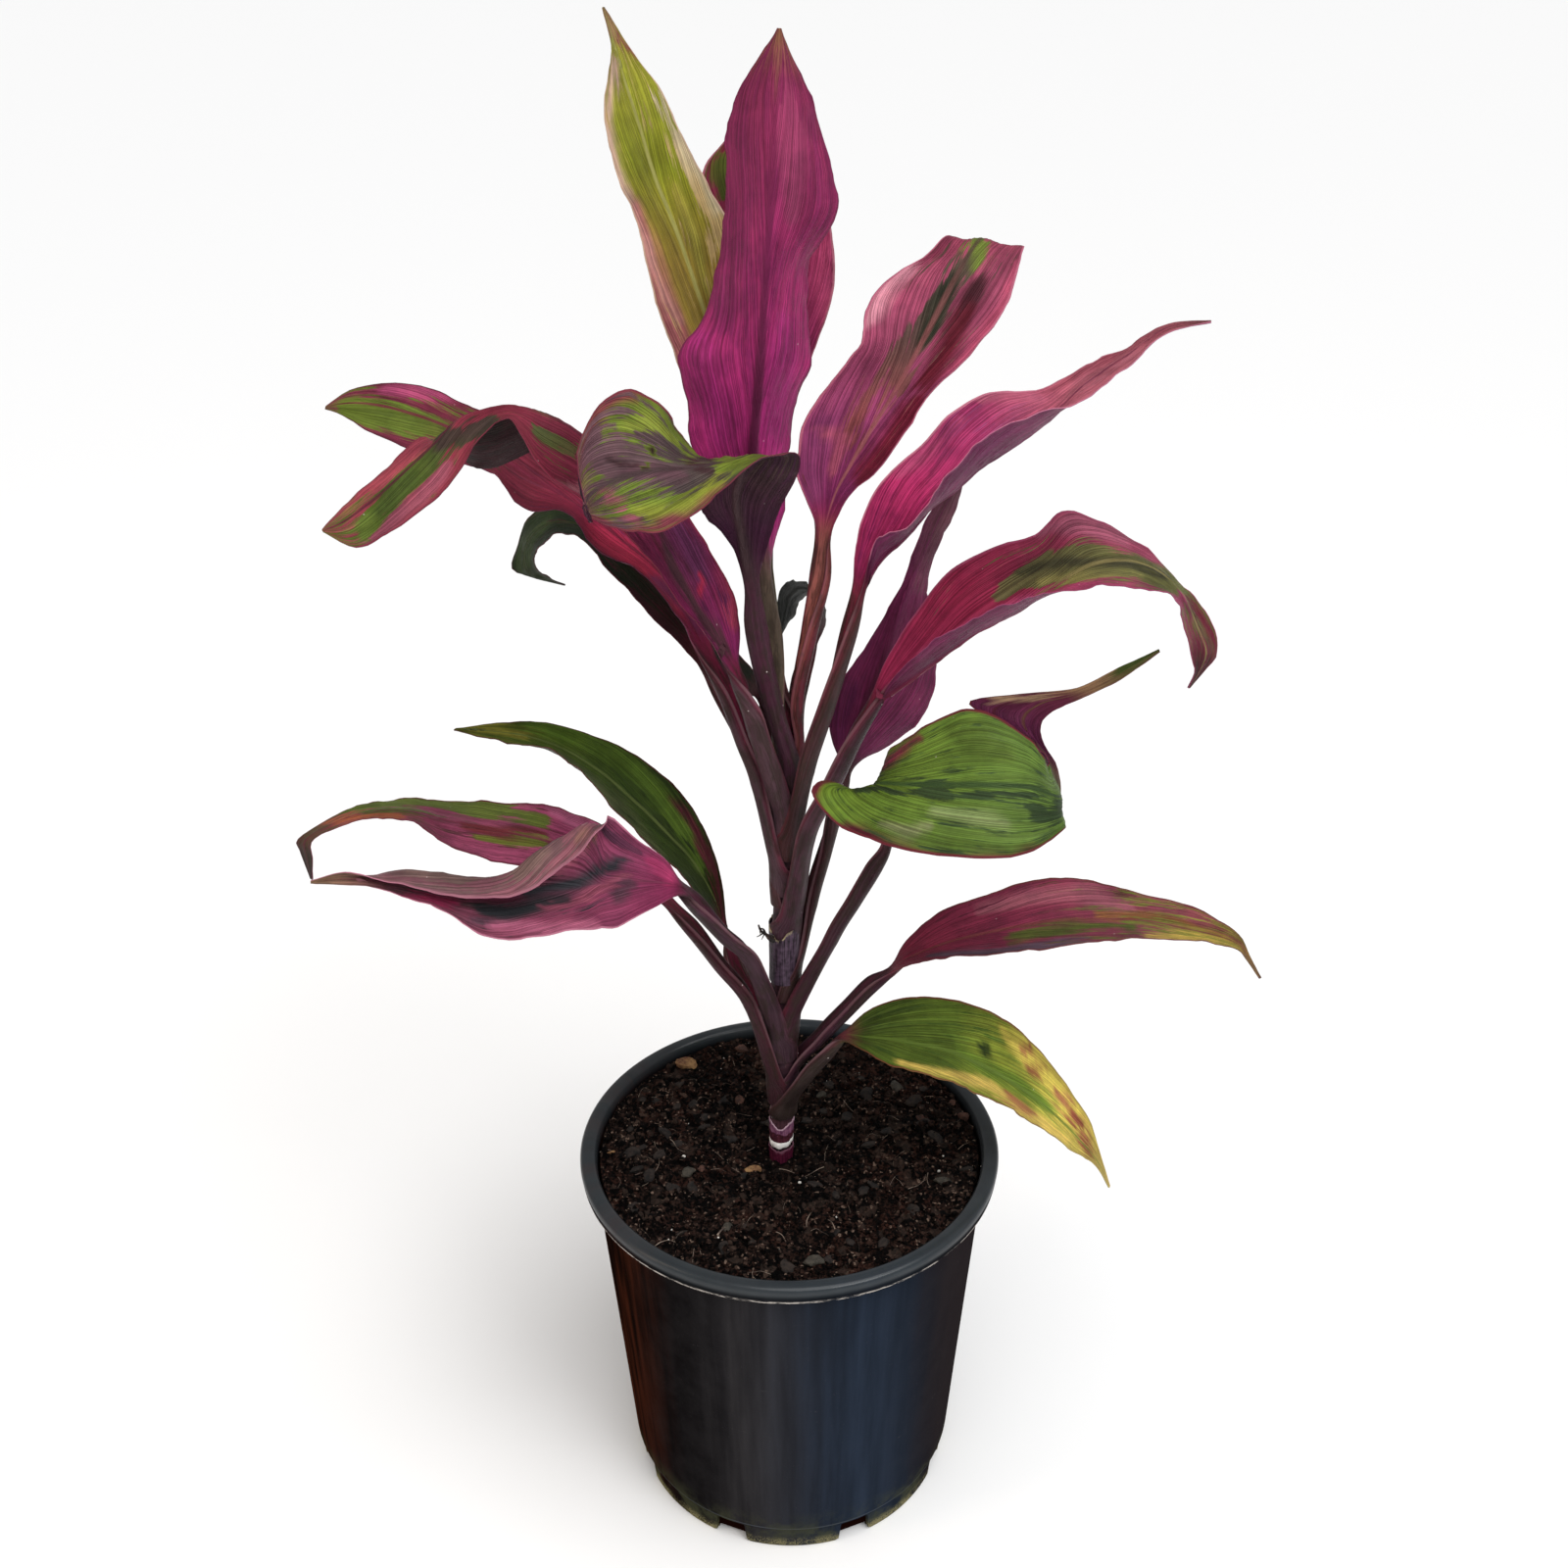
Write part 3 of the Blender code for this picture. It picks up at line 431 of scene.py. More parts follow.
def leaf_rows(turn, height, stalk, blade, root, wide, cup, tip, face, drop):
    """Five points for each row. A blade row is given as u, v and depth of its points, one after another."""
    blade = [[row[k:k + 3] for k in range(0, len(row), 3)] for row in blade]
    rows = []
    spots = [sight(*point) for point in stalk]
    heading = math.radians(turn)
    for rise, out, cover in ((-drop, -0.8, 0.7), (0.0, 0.0, 0.7), (SHEATH_RISE, 0.5, 0.2)):
        centre = stem_centre(height + rise)
        reach = stem_radius(height) + GAP + 1.25 + out
        spread = (root + cover) / reach
        ring = []
        for share in (1.0, 0.5, 0.0, -0.5, -1.0):
            angle = heading + spread * share * face
            ring.append(centre + Vector((math.cos(angle), math.sin(angle), 0.0)) * reach)
        rows.append(ring)
    first_blade = [sight(*point) for point in blade[0]]
    centres = [rows[1][2], rows[2][2]] + spots + [first_blade[len(first_blade) // 2]]
    side_start = Vector((math.sin(heading), -math.cos(heading), 0.0)) * face
    side_end = (first_blade[-1] - first_blade[0]).normalized()
    for i, spot in enumerate(spots):
        course = (centres[i + 3] - centres[i + 1]).normalized()
        share = (i + 1) / (len(spots) + 1)
        side = side_start.lerp(side_end, share * share)
        side = (side - course * side.dot(course)).normalized()
        up = side.cross(course) * face
        half = root + (wide - root) * min(1.0, 1.8 * share)
        lift = up * CHANNEL * half
        rows.append([
            spot - side * half + lift,
            spot - side * half * SHOULDER + lift * 0.20,
            spot - lift * 0.20,
            spot + side * half * SHOULDER + lift * 0.20,
            spot + side * half + lift,
        ])
    middles = [sight(*points[len(points) // 2]) for points in blade] + [sight(*tip)]
    for i, points in enumerate(blade):
        here = [sight(*point) for point in points]
        if len(here) == 3:
            first, middle, last = here
            course = (middles[i + 1] - (middles[i - 1] if i else spots[-1])).normalized()
            bowed = []
            for edge, sign in ((first, -1.0), (last, 1.0)):
                normal = ((edge - middle) * sign).cross(course)
                bow = normal.normalized() * (cup * (edge - middle).length * face)
                bowed.append(edge.lerp(middle, 0.5) - bow)
            here = [first, bowed[0], middle, bowed[1], last]
        rows.append(here)
    side = (rows[-1][4] - rows[-1][0]).normalized()
    rows.append([middles[-1] + side * (0.3 * (k - 2)) for k in range(5)])
    return np.array([[list(point) for point in row] for row in rows])


# %% [markdown]
# ## From rows to a smooth sheet
#
# A curve through the rows' points is read at evenly spaced places, along the leaf and across
# it. Real blades aren't smooth: the midrib is a groove on the upper face, and the margins
# ripple. Both are added along the sheet's own normal, so they follow every bend.

# %% Smooth sheet
def glide(points, places):
    """Catmull-Rom through the points, which run along the array's first axis."""
    last = len(points) - 1
    index = np.clip(places.astype(int), 0, last - 1)
    share = (places - index).reshape((-1,) + (1,) * (points.ndim - 1))
    before = points[np.maximum(index - 1, 0)]
    start, end = points[index], points[index + 1]
    after = points[np.minimum(index + 2, last)]
    square, cube = share ** 2, share ** 3
    return (
        before * (-0.5 * cube + square - 0.5 * share)
        + start * (1.5 * cube - 2.5 * square + 1.0)
        + end * (-1.5 * cube + 2.0 * square + 0.5 * share)
        + after * (0.5 * cube - 0.5 * square)
    )


def unit(vectors):
    return vectors / np.maximum(np.linalg.norm(vectors, axis=-1, keepdims=True), 1e-9)


def even_places(rows, steps):
    """Places along the rows that are evenly spaced by distance on the midrib."""
    fine = np.linspace(0.0, len(rows) - 1.0, 40 * len(rows))
    spine = glide(rows[:, 2], fine)
    reach = np.concatenate(([0.0], np.cumsum(np.linalg.norm(np.diff(spine, axis=0), axis=1))))
    wanted = np.linspace(0.0, reach[-1], steps + 1)
    return np.interp(wanted, reach, fine), wanted


def sheet_normals(sheet):
    across = np.gradient(sheet, axis=1)
    course = np.gradient(sheet, axis=0)
    return unit(np.cross(unit(across), unit(course)))


def ease(values, low, high):
    """0 below low, 1 above high, with a smooth step between."""
    share = np.clip((values - low) / (high - low), 0.0, 1.0)
    return share * share * (3.0 - 2.0 * share)


def blend(first, second, weight):
    return first + (np.asarray(second) - first) * weight[..., None]


def waves(along, seed, length):
    """A sum of three uneven waves between about -1 and 1."""
    turn = 2.0 * math.pi / length
    return (
        0.5 * np.sin(along * turn + seed)
        + 0.3 * np.sin(along * turn * 1.73 + seed * 2.3)
        + 0.2 * np.sin(along * turn * 3.1 + seed * 4.1)
    )


# %% [markdown]
# The foot of the stalk is a sheath that clasps the cane, nearly all the way round at the bottom
# and less towards the stalk. Its rows are bent round the cane's axis, and the next lower leaf
# wraps over it.

# %% Sheath
SHEATH_ROWS = (0.0, 1.0, 2.0, 3.0)


def wrap_sheath(sheet, places, side, turn):
    """Bends a leaf's lowest sections round the cane."""
    middle = sheet[:, sheet.shape[1] // 2]
    rise = middle[:, 2]
    centre = STEM_FOOT_X + (rise - SOIL_LEVEL) * math.tan(STEM_LEAN)
    reach = np.hypot(middle[:, 0] - centre, middle[:, 1])
    heights, radii = zip(*STEM_MARKS)
    close = np.interp(rise, heights, radii) + np.interp(places, SHEATH_ROWS, (0.5, 1.0, 1.6, 2.4))
    heading = np.arctan2(middle[:, 1], middle[:, 0] - centre)
    heading = np.where(places < 2.0, math.radians(turn), heading)
    cover = np.interp(places, SHEATH_ROWS, (2.5, 2.1, 1.35, 0.75))
    angle = heading[:, None] - side * cover[:, None]
    radius = close[:, None] + np.maximum(reach - close, 0.0)[:, None] * (1.0 - np.abs(side) ** 1.4)
    wrapped = np.stack((
        centre[:, None] + radius * np.cos(angle), radius * np.sin(angle), rise[:, None] + 0.0 * radius,
    ), axis=-1)
    return blend(wrapped, sheet, np.broadcast_to(ease(places, 1.7, 3.0)[:, None], radius.shape))


# %% [markdown]
# ## One leaf
#
# A grid gives the sheet its faces and its UV map, which later carries the veins. Its points are
# laid on the smooth sheet, and a Solidify modifier gives it thickness: about half a millimetre
# in the blade, more along the midrib, and four millimetres in the stalk's back.

# %% Leaf sheet
ACROSS = 28
SECTION = 2.3            # length of one step along a leaf
BLADE = 0.55             # thicknesses of the blade, of what the midrib adds and of the stalk
RIB = 1.5
STALK = 4.2
MARGIN_WAVE = 26.0       # wave lengths: the margin's, its fine crimps', the blade's swell and dimples
CRIMP_WAVE = 11.0
SWELL_WAVE = 41.0
DIMPLE_WAVE = 13.0
NICK_WAVE = 14.0


def leaf_sheet(name, rows, first_blade, face, seed, ripple, turn):
    """The leaf's surface as a mesh object, with its facts for painting."""
    length = even_places(rows, 2)[1][-1]
    steps = int(length / SECTION)
    places, along = even_places(rows, steps)
    grid = glide(rows, places)
    even = np.linspace(-1.0, 1.0, ACROSS + 1)
    side = (even * (0.4 + 0.6 * np.abs(even)))[None, :]
    sheet = np.swapaxes(glide(np.swapaxes(grid, 0, 1), 2.0 + 2.0 * side[0]), 0, 1)
    if face < 0:
        sheet = sheet[:, ::-1]
    sheet = wrap_sheath(sheet, places, side, turn)
    width = np.linalg.norm(np.diff(sheet, axis=1), axis=2).sum(axis=1)[:, None]
    opened = ease(places, first_blade - 0.6, first_blade + 1.4)[:, None]
    worn = np.clip((places - first_blade) / (len(rows) - 1 - first_blade), 0.0, 1.0)[:, None]
    run = along[:, None]
    edge = np.abs(side)
    rise = opened * (edge ** 3) * ripple * waves(run + side * 4.0, seed + np.sign(side) * 1.7, MARGIN_WAVE)
    rise = rise + opened * (edge ** 5) * 0.18 * ripple * waves(run, seed * 3.0 + side, CRIMP_WAVE)
    rise = rise + opened * 0.30 * ripple * waves(run + side * width * 0.35, seed * 1.9, SWELL_WAVE)
    slanted = run * (1.0 + 0.2 * side) + side * 31.0
    rise = rise + opened * 0.22 * waves(slanted, seed * 2.7 + side * 5.0, DIMPLE_WAVE)
    rise = rise * ease(width, 3.0, 20.0)
    groove = opened * (1.0 - worn) * 0.7 * np.exp(-(side * width * 0.5 / 1.3) ** 2)
    sheet = sheet + sheet_normals(sheet) * (rise - groove)[..., None]
    nick = opened * ease(edge, 0.8, 1.0) * 0.12 * waves(run, seed * 5.0 + np.sign(side), NICK_WAVE)
    sheet = sheet + unit(np.gradient(sheet, axis=1)) * (nick * np.sign(side))[..., None]
    ridge = np.exp(-(side * width * 0.5 / 2.2) ** 2)
    blade = BLADE * (1.0 - 0.35 * edge ** 4) + (0.3 + RIB * (1.0 - worn) ** 1.5) * ridge
    back = 1.0 - 0.75 * edge ** 2.5
    thick = blade * opened + STALK * back * (1.0 - opened)
    sheath = np.interp(places, (0.0, 2.0, 3.0), (0.8, 1.4, STALK))[:, None]
    thick = np.minimum(thick, sheath * (1.0 - 0.5 * edge ** 3) + opened * STALK)
    over = np.minimum(thick * 0.5, 0.3 + 0.45 * (1.0 - opened))
    sheet = sheet + sheet_normals(sheet) * over[..., None]
    facts = {"side": side, "along": run, "opened": opened, "worn": worn, "half": width * 0.5}
    facts = {key: np.broadcast_to(value, sheet.shape[:2]) for key, value in facts.items()}
    facts["points"] = sheet

    select_nothing()
    bpy.ops.mesh.primitive_grid_add(x_subdivisions=ACROSS, y_subdivisions=steps, size=1.0)
    piece = named(name)
    piece.data.name = name
    piece.data.vertices.foreach_set("co", (sheet.reshape(-1, 3) * MM).ravel())
    group = piece.vertex_groups.new(name="thick")
    most = float(thick.max())
    for index, value in enumerate(thick.ravel()):
        group.add([index], float(value) / most, "REPLACE")
    apply_modifier(
        piece, "SOLIDIFY", thickness=most * MM, offset=-1.0, vertex_group="thick", use_quality_normals=True,
    )
    return piece, facts

# %% [markdown]
# ## Painting a leaf
#
# A ti leaf carries two colours that run into each other in streaks along its veins. Each leaf
# therefore stores, at its own points, a ground colour, a streak colour and how much of the
# streak colour shows. They are laid on with a few brush strokes, given on the same sheet as the
# rows: the layer, then for each stroke a colour or a number, a radius and the points that the
# brush passes. The shader then breaks the strokes' soft edges up along the veins.

# %% Brush
PATCHES = 32             # the uneven values repeat after so many steps


def patchy(x, y, seed):
    """Smooth uneven values between about -1 and 1 over two directions."""
    table = np.random.default_rng(int(seed)).uniform(-1.0, 1.0, (PATCHES, PATCHES))
    column, row = np.floor(x).astype(int), np.floor(y).astype(int)
    a, b = ease(x - column, 0.0, 1.0), ease(y - row, 0.0, 1.0)
    corners = [table[(column + i) % PATCHES, (row + j) % PATCHES] for i in (0, 1) for j in (0, 1)]
    return (corners[0] * (1 - b) + corners[1] * b) * (1 - a) + (corners[2] * (1 - b) + corners[3] * b) * a


def stroke_weight(spots, path, radius):
    """How strongly a soft brush that follows a path of sheet points covers each spot."""
    cover = np.zeros(spots.shape[:-1])
    points = [np.array(point, float) for point in path]
    lines = list(zip(points, points[1:]))
    for index, (start, end) in enumerate(lines):
        line = end - start
        share = np.clip(((spots - start) @ line) / max(float(line @ line), 1e-9), 0.0, 1.0)
        distance = np.linalg.norm(spots - (start + share[..., None] * line), axis=-1)
        along = (index + share) / len(lines)
        width = radius * (0.55 + 0.45 * np.sin(math.pi * along) ** 0.7)
        cover = np.maximum(cover, 1.0 - ease(distance / width, 0.25, 1.35))
    return cover


def spread(stops, worn):
    """Colours along the blade, from one colour or from colours by their place."""
    if not isinstance(stops, dict):
        stops = {0.0: stops}
    shades = [paint(*colour) for colour in stops.values()]
    return np.stack([np.interp(worn, list(stops), [shade[k] for shade in shades]) for k in range(3)], axis=-1)


def store(piece, name, kind, values):
    attribute = piece.data.attributes.new(name, kind, "POINT")
    key = {"FLOAT_COLOR": "color", "FLOAT_VECTOR": "vector"}[kind]
    if kind == "FLOAT_COLOR":
        values = np.concatenate((values, np.ones(values.shape[:-1] + (1,))), axis=-1)
    attribute.data.foreach_set(key, np.ascontiguousarray(values, dtype=np.float32).ravel())


FAN = 1.1                # how fast the veins leave the midrib
BRUSH_DRIFT = 4.5        # how far the strokes' edges wander, in sheet steps
LAYERS = ("ground", "streak", "rib", "margin")


def paint_leaf(piece, facts, seed, colours, strokes, under):
    """Stores the painted colours of the upper face, then of the lower one."""
    side, along, opened, worn = (facts[key] for key in ("side", "along", "opened", "worn"))
    spots = on_sheet(facts["points"])
    fine = patchy(side * 9.0 + 40.0, along / 16.0, seed)
    fine = fine + 0.6 * patchy(side * 23.0 + 60.0, along / 9.0, seed + 1)
    drift = patchy(side * 5.0 + 40.0, along / 22.0, seed + 2)
    drift = drift + 0.6 * patchy(side * 17.0 + 60.0, along / 12.0, seed + 3)
    spots = spots + BRUSH_DRIFT * np.stack((fine, drift), axis=-1)
    layers = {key: spread(colours.get(key, colours["ground"]), worn) for key in LAYERS}
    share = np.interp(worn, list(colours["share"]), list(colours["share"].values()))
    dry = np.zeros_like(share)
    marks = [(layer, *mark) for layer, *group in strokes for mark in group]
    for layer, value, radius, *path in marks:
        weight = stroke_weight(spots, path, radius) * ease(opened, 0.1, 0.6)
        if layer == "share":
            share = share + (value - share) * weight
        elif layer == "dry":
            dry = np.maximum(dry, value * weight)
        else:
            for key in ("ground", "streak", "rib") if layer == "both" else (layer,):
                layers[key] = blend(layers[key], paint(*value), weight)
    outer, inner = (paint(*colour) for colour in colours["skin"])
    stalk = blend(np.broadcast_to(outer, share.shape + (3,)), inner, 1.0 - ease(np.abs(side), 0.55, 0.95))
    edged = blend(np.broadcast_to(outer, share.shape + (3,)), inner, 0.50 * ease(np.abs(side), 0.62, 0.95))
    closed = 1.0 - ease(opened, 0.0, 0.7)
    thick = 0.9 + 2.4 * (1.0 - worn) ** 3
    back = 0.9 * np.exp(-(side * facts["half"] / thick) ** 2) * (1.0 - ease(worn, 0.25, 0.65))
    top, low = {}, {}
    for key in LAYERS:
        top[key] = blend(layers[key], stalk, closed)
        beneath = blend(layers[key], paint(*under[0]), np.full_like(share, under[1]))
        low[key] = blend(blend(beneath, layers["rib"], back), edged, closed)
    fan = np.abs(side) + FAN * (1.0 - worn)
    vein = np.stack((fan, along * 0.01, seed + side * 0.8), axis=-1)
    form = np.stack((share, dry, opened), axis=-1)
    for key in LAYERS:
        both = np.concatenate((top[key].reshape(-1, 3), low[key].reshape(-1, 3)))
        store(piece, key, "FLOAT_COLOR", both)
    for key, values in (("vein", vein), ("form", form)):
        store(piece, key, "FLOAT_VECTOR", np.concatenate((values.reshape(-1, 3),) * 2))


# %% [markdown]
# ## The leaf's surface
#
# Up close a blade shows fine parallel veins, which fan out from the midrib, broader streaks
# where the pigment follows them, a thin margin line and a satin skin. The veins and streaks are
# stretched noise read along the leaf's own directions. A shallow bump makes the veins catch the
# light, and dry places turn tan, rough and crinkled.

# %% Leaf material
def leaf_look():
    look = Look("leaf_surface")
    fan, along, seed = look.parts(look.attribute("vein", 1))
    share, dry, opened = look.parts(look.attribute("form", 1))
    across = look.parts(look.node("ShaderNodeUVMap", {"uv_map": "UVMap"}))[0]
    edge = look.maths("ABSOLUTE", across * 2.0 - 1.0)
    place = look.place()

    streaks = look.stretched(fan * 9.0, along * 5.0, seed, 4.0, 0.65)
    veins = look.stretched(fan * 50.0, along * 1.6, seed + 9.0, 3.0, 0.65)
    ridges = look.stretched(fan * 84.0, along * 1.4, seed + 5.0, 1.0, 0.5)
    lines = look.stretched(fan * 30.0, along * 0.8, seed + 7.0, 1.0, 0.5)
    thin = 1.0 - look.ramp(look.maths("ABSOLUTE", lines - 0.5), 0.015, 0.080)
    mask = look.ramp(share + (streaks - 0.5) * 1.5 + (veins - 0.5) * 1.0, 0.40, 0.60)
    clouds = look.noise(place, 45.0, 4.0, 0.65)

    look.colour = look.mix(mask, look.attribute("ground", 0), look.attribute("streak", 0))
    shade = look.ramp(veins, 0.34, 0.60)
    look.lay((1.0 - shade) * 0.50, (0.52, 0.42, 0.48), "MULTIPLY")
    look.lay(look.ramp(ridges, 0.50, 0.62) * 0.45, (0.50, 0.46, 0.48), "MULTIPLY")
    look.lay(look.ramp(ridges, 0.36, 0.48) * -0.30 + 0.30, (1.50, 1.40, 1.45), "MULTIPLY")
    look.lay(thin * opened * 0.50, (0.40, 0.34, 0.36), "MULTIPLY")
    look.lay(look.ramp(clouds, 0.42, 0.66) * 0.70, (1.50, 1.44, 1.40), "MULTIPLY")
    look.lay(0.5 - look.ramp(clouds, 0.30, 0.48) * 0.5, (0.62, 0.56, 0.58), "MULTIPLY")
    rib = (1.0 - look.ramp(edge, 0.05, 0.15)) * opened
    look.lay(rib * 0.85, look.attribute("rib", 0))
    line = look.ramp(edge + (veins - 0.5) * 0.03, 0.955, 0.985) * opened
    look.lay(line, look.attribute("margin", 0))
    stalk = 1.0 - look.ramp(opened, 0.0, 0.5)
    look.lay(look.ramp(ridges, 0.52, 0.62) * stalk * 0.30, paint(126, 96, 106))
    drab = look.stretched(fan * 3.0, along * 9.0, seed + 2.0, 3.0, 0.6)
    look.lay(look.ramp(drab, 0.44, 0.60) * stalk * 0.60, paint(56, 46, 38))
    hem = look.ramp(edge + (ridges - 0.5) * 0.02, 0.955, 0.985) * stalk
    look.lay(hem * 0.40, paint(124, 82, 90))
    # Painted shade: the stalks grow darker towards the soil, under the leaves above them.
    stalk_shade_near_soil = 1.0 - look.ramp(look.parts(place)[2], 0.195, 0.270)
    look.lay(stalk_shade_near_soil * stalk * 0.7, (0.52, 0.52, 0.50), "MULTIPLY")
    dots = look.cells(place, 150.0, 0)
    chosen = look.cell_tone(place, 150.0)
    spots = (1.0 - look.ramp(dots, 0.035, 0.060)) * look.ramp(chosen + stalk * 0.12, 0.80, 0.82)
    look.lay(spots * (0.30 + stalk * 0.6), paint(255, 240, 236))
    crisp = look.stretched(fan * 24.0, along * 4.0, seed + 3.0, 4.0, 0.7)
    withered = look.mix(crisp, paint(*TAN), paint(*BROWN))
    worn = look.ramp(dry + (crisp - 0.5) * 0.7, 0.38, 0.62)
    look.lay(worn, withered)

    tint = {"Color": look.colour, "Saturation": 0.95, "Value": 1.24}
    look.colour = look.node("ShaderNodeHueSaturation", {}, tint)
    height = ridges * 0.4 + veins * 0.9 + clouds * 1.0 - thin * 0.5 + worn * crisp * 3.0
    look.bump(height, 0.0007, 0.7)
    rough = 0.40 + (1.0 - veins) * 0.14 + worn * 0.35 - stalk * 0.08
    return look.finish(Base_Color=look.colour, Roughness=rough, Specular_IOR_Level=0.12)


LEAF = leaf_look()
print("leaf nodes:", len(LEAF.node_tree.nodes))


# %% Leaf maker
def add_leaf(node, slot, turn, height, stalk, blade, tip, strokes=(), wide=3.8, root=3.6,
             cup=0.06, face=1, ripple=0.7, under=(DULL_PURPLE, 0.6), drop=10.0, **colours):
    """Models, paints and places the leaf that stands for one solid.

    Its colours are ground, streak, rib and margin, share, which says how much of the streak colour
    shows, and skin, which is the stalk's outer and inner colour. Where a colour changes along the
    blade, each value stands behind its place, from 0 at the blade's base to 1 at its tip.
    """
    rows = leaf_rows(turn, height, stalk, blade, root, wide, cup, tip, face, drop)
    seed = float(sum(ord(letter) for letter in node) % 97)
    piece, facts = leaf_sheet(node.replace("leaf_", ""), rows, 3 + len(stalk), face, seed, ripple, turn)
    paint_leaf(piece, facts, seed, colours, strokes, under)
    smooth(piece, 70)
    dress(piece, LEAF, slot, node)
    print(f"{piece.name}: {facts['along'].max():.0f} mm long, {triangles(piece)} triangles")
    return piece

# %% [markdown]
# ## The crown
#
# The youngest leaves stand nearly upright. The pale one has lost its red pigment and shows lime
# green with cream margins, and the tallest is a deep magenta. The tables give each row of the
# blade as nine numbers: edge, midrib and edge, each as two places on the sheet and a depth in
# millimetres.

# %% Pale top leaf
add_leaf(
    "leaf_pale_top", "leaf_pale", 140.0, 392.0, [(794, 705, 8), (788, 640, 11), (779, 575, 13)], [
        (768, 528, 14, 774, 522, 16, 781, 518, 15), (728, 450, 24, 757, 450, 17, 790, 440, 24),
        (692, 372, 32, 737, 375, 21, 780, 360, 31), (667, 300, 34, 712, 298, 22, 765, 290, 35),
        (652, 235, 35, 690, 235, 24, 748, 235, 38), (630, 178, 35, 668, 180, 24, 722, 188, 38),
        (617, 125, 33, 653, 130, 24, 697, 140, 36), (620, 78, 30, 638, 84, 22, 672, 88, 34),
        (624, 48, 26, 629, 52, 22, 645, 52, 27),
    ], (616, 8, 20), wide=3.0, root=2.5, under=(OLIVE, 0.5),
    ground={0.0: DUSTY_PINK, 0.15: (140, 130, 44), 0.38: (160, 138, 44), 0.58: (150, 160, 24),
        0.9: (160, 162, 44), 1.0: TAN},
    streak=(204, 176, 112), share={0.0: 0.25, 1.0: 0.3}, rib=(178, 174, 96), margin=(220, 186, 160),
    skin=((88, 80, 66), (120, 120, 66)),
    strokes=(
        ("share", (0.55, 18, (676, 96), (704, 150), (727, 208), (740, 258), (746, 320)),
         (0.95, 10, (690, 140), (720, 195), (745, 240)),
         (0.0, 16, (634, 104), (655, 167), (676, 230), (700, 310))),
        ("streak", ((206, 192, 150), 12, (668, 92), (700, 150), (735, 215))),
        ("ground", ((196, 112, 116), 15, (648, 212), (672, 292), (690, 345), (697, 378)),
         ((208, 148, 140), 8, (640, 196), (664, 268), (690, 330)),
         ((224, 192, 168), 8, (628, 62), (619, 125), (626, 172), (642, 206)),
         ((150, 80, 76), 4, (624, 32), (640, 48), (662, 66), (684, 92)),
         ((168, 160, 56), 7, (690, 190), (712, 250), (722, 300)), (TAN, 10, (616, 8), (624, 34))),
    ),
)

# %% Magenta top leaf
add_leaf(
    "leaf_magenta_top", "leaf_magenta", -157.0, 397.0, [(793, 710, -2), (789, 650, -4)], [
        (772, 585, -5, 779, 580, -6, 785, 583, -4), (742, 520, -2, 774, 520, -8, 800, 520, 0),
        (708, 462, 5, 769, 462, -10, 804, 462, 4), (702, 415, 7, 772, 415, -11, 812, 410, 7),
        (693, 362, 8, 776, 365, -12, 828, 365, 9), (721, 318, 7, 779, 318, -12, 823, 315, 8),
        (733, 262, 7, 783, 262, -12, 828, 264, 8), (741, 205, 7, 786, 208, -10, 855, 212, 9),
        (741, 140, 5, 789, 145, -8, 842, 150, 7), (752, 95, 2, 791, 98, -6, 829, 102, 4),
        (775, 58, -1, 794, 60, -4, 810, 62, 0),
    ], (795, 29, -2), wide=3.6, root=2.4, face=-1, under=((150, 16, 100), 0.25), ripple=0.8,
    ground={0.0: (176, 20, 124), 0.2: (184, 18, 122), 0.4: (170, 22, 106), 0.6: (150, 28, 88),
        0.85: (142, 42, 78), 1.0: OCHRE},
    streak={0.0: (150, 12, 106), 0.5: (130, 20, 84), 1.0: (120, 38, 66)}, share={0.0: 0.4, 1.0: 0.5},
    rib={0.0: (76, 10, 50), 0.55: (84, 14, 50), 0.8: (120, 30, 62), 1.0: OCHRE}, margin=(112, 26, 66),
    skin=((96, 84, 66), (116, 104, 72)),
    strokes=(
        ("share", (0.75, 20, (756, 120), (748, 200), (750, 270), (740, 330)),
         (0.1, 16, (800, 110), (808, 170), (802, 240))),
        ("ground", ((150, 56, 92), 18, (800, 90), (808, 160), (806, 220)),
         ((176, 22, 124), 20, (716, 345), (724, 400), (742, 450)),
         ((172, 24, 120), 18, (800, 330), (796, 400), (786, 450)), (OCHRE, 5, (795, 29), (794, 42))),
    ),
)

# %% Behind top leaf
add_leaf(
    "leaf_behind_top", "leaf_pink", 70.0, 399.0, [(793, 700, 17), (781, 620, 26), (779, 550, 34)], [
        (783, 500, 42, 789, 498, 42, 796, 500, 42), (765, 440, 50, 796, 440, 44, 806, 430, 48),
        (740, 370, 54, 792, 370, 46, 828, 366, 50), (728, 300, 56, 790, 300, 48, 850, 300, 52),
        (720, 235, 58, 788, 235, 50, 850, 245, 54), (716, 178, 58, 787, 180, 52, 838, 190, 55),
        (742, 140, 58, 788, 140, 54, 826, 140, 56),
    ], (792, 80, 54), wide=3.0, root=2.5,
    ground={0.0: MAGENTA, 0.45: (164, 44, 98), 0.8: RED_MAROON, 1.0: MAROON},
    streak={0.0: MAGENTA, 0.6: (120, 26, 60), 0.8: OLIVE, 1.0: OLIVE}, share={0.0: 0.3, 1.0: 0.4},
    rib=RED_MAROON, margin=(190, 110, 130), skin=(STALK_BROWN, RED_MAROON),
    strokes=(
        ("share", (0.95, 13, (736, 160), (740, 200))),
        ("streak", ((84, 96, 34), 16, (736, 160), (740, 200))),
        ("ground", ((180, 60, 108), 14, (846, 250), (846, 290), (840, 330))),
    ),
)

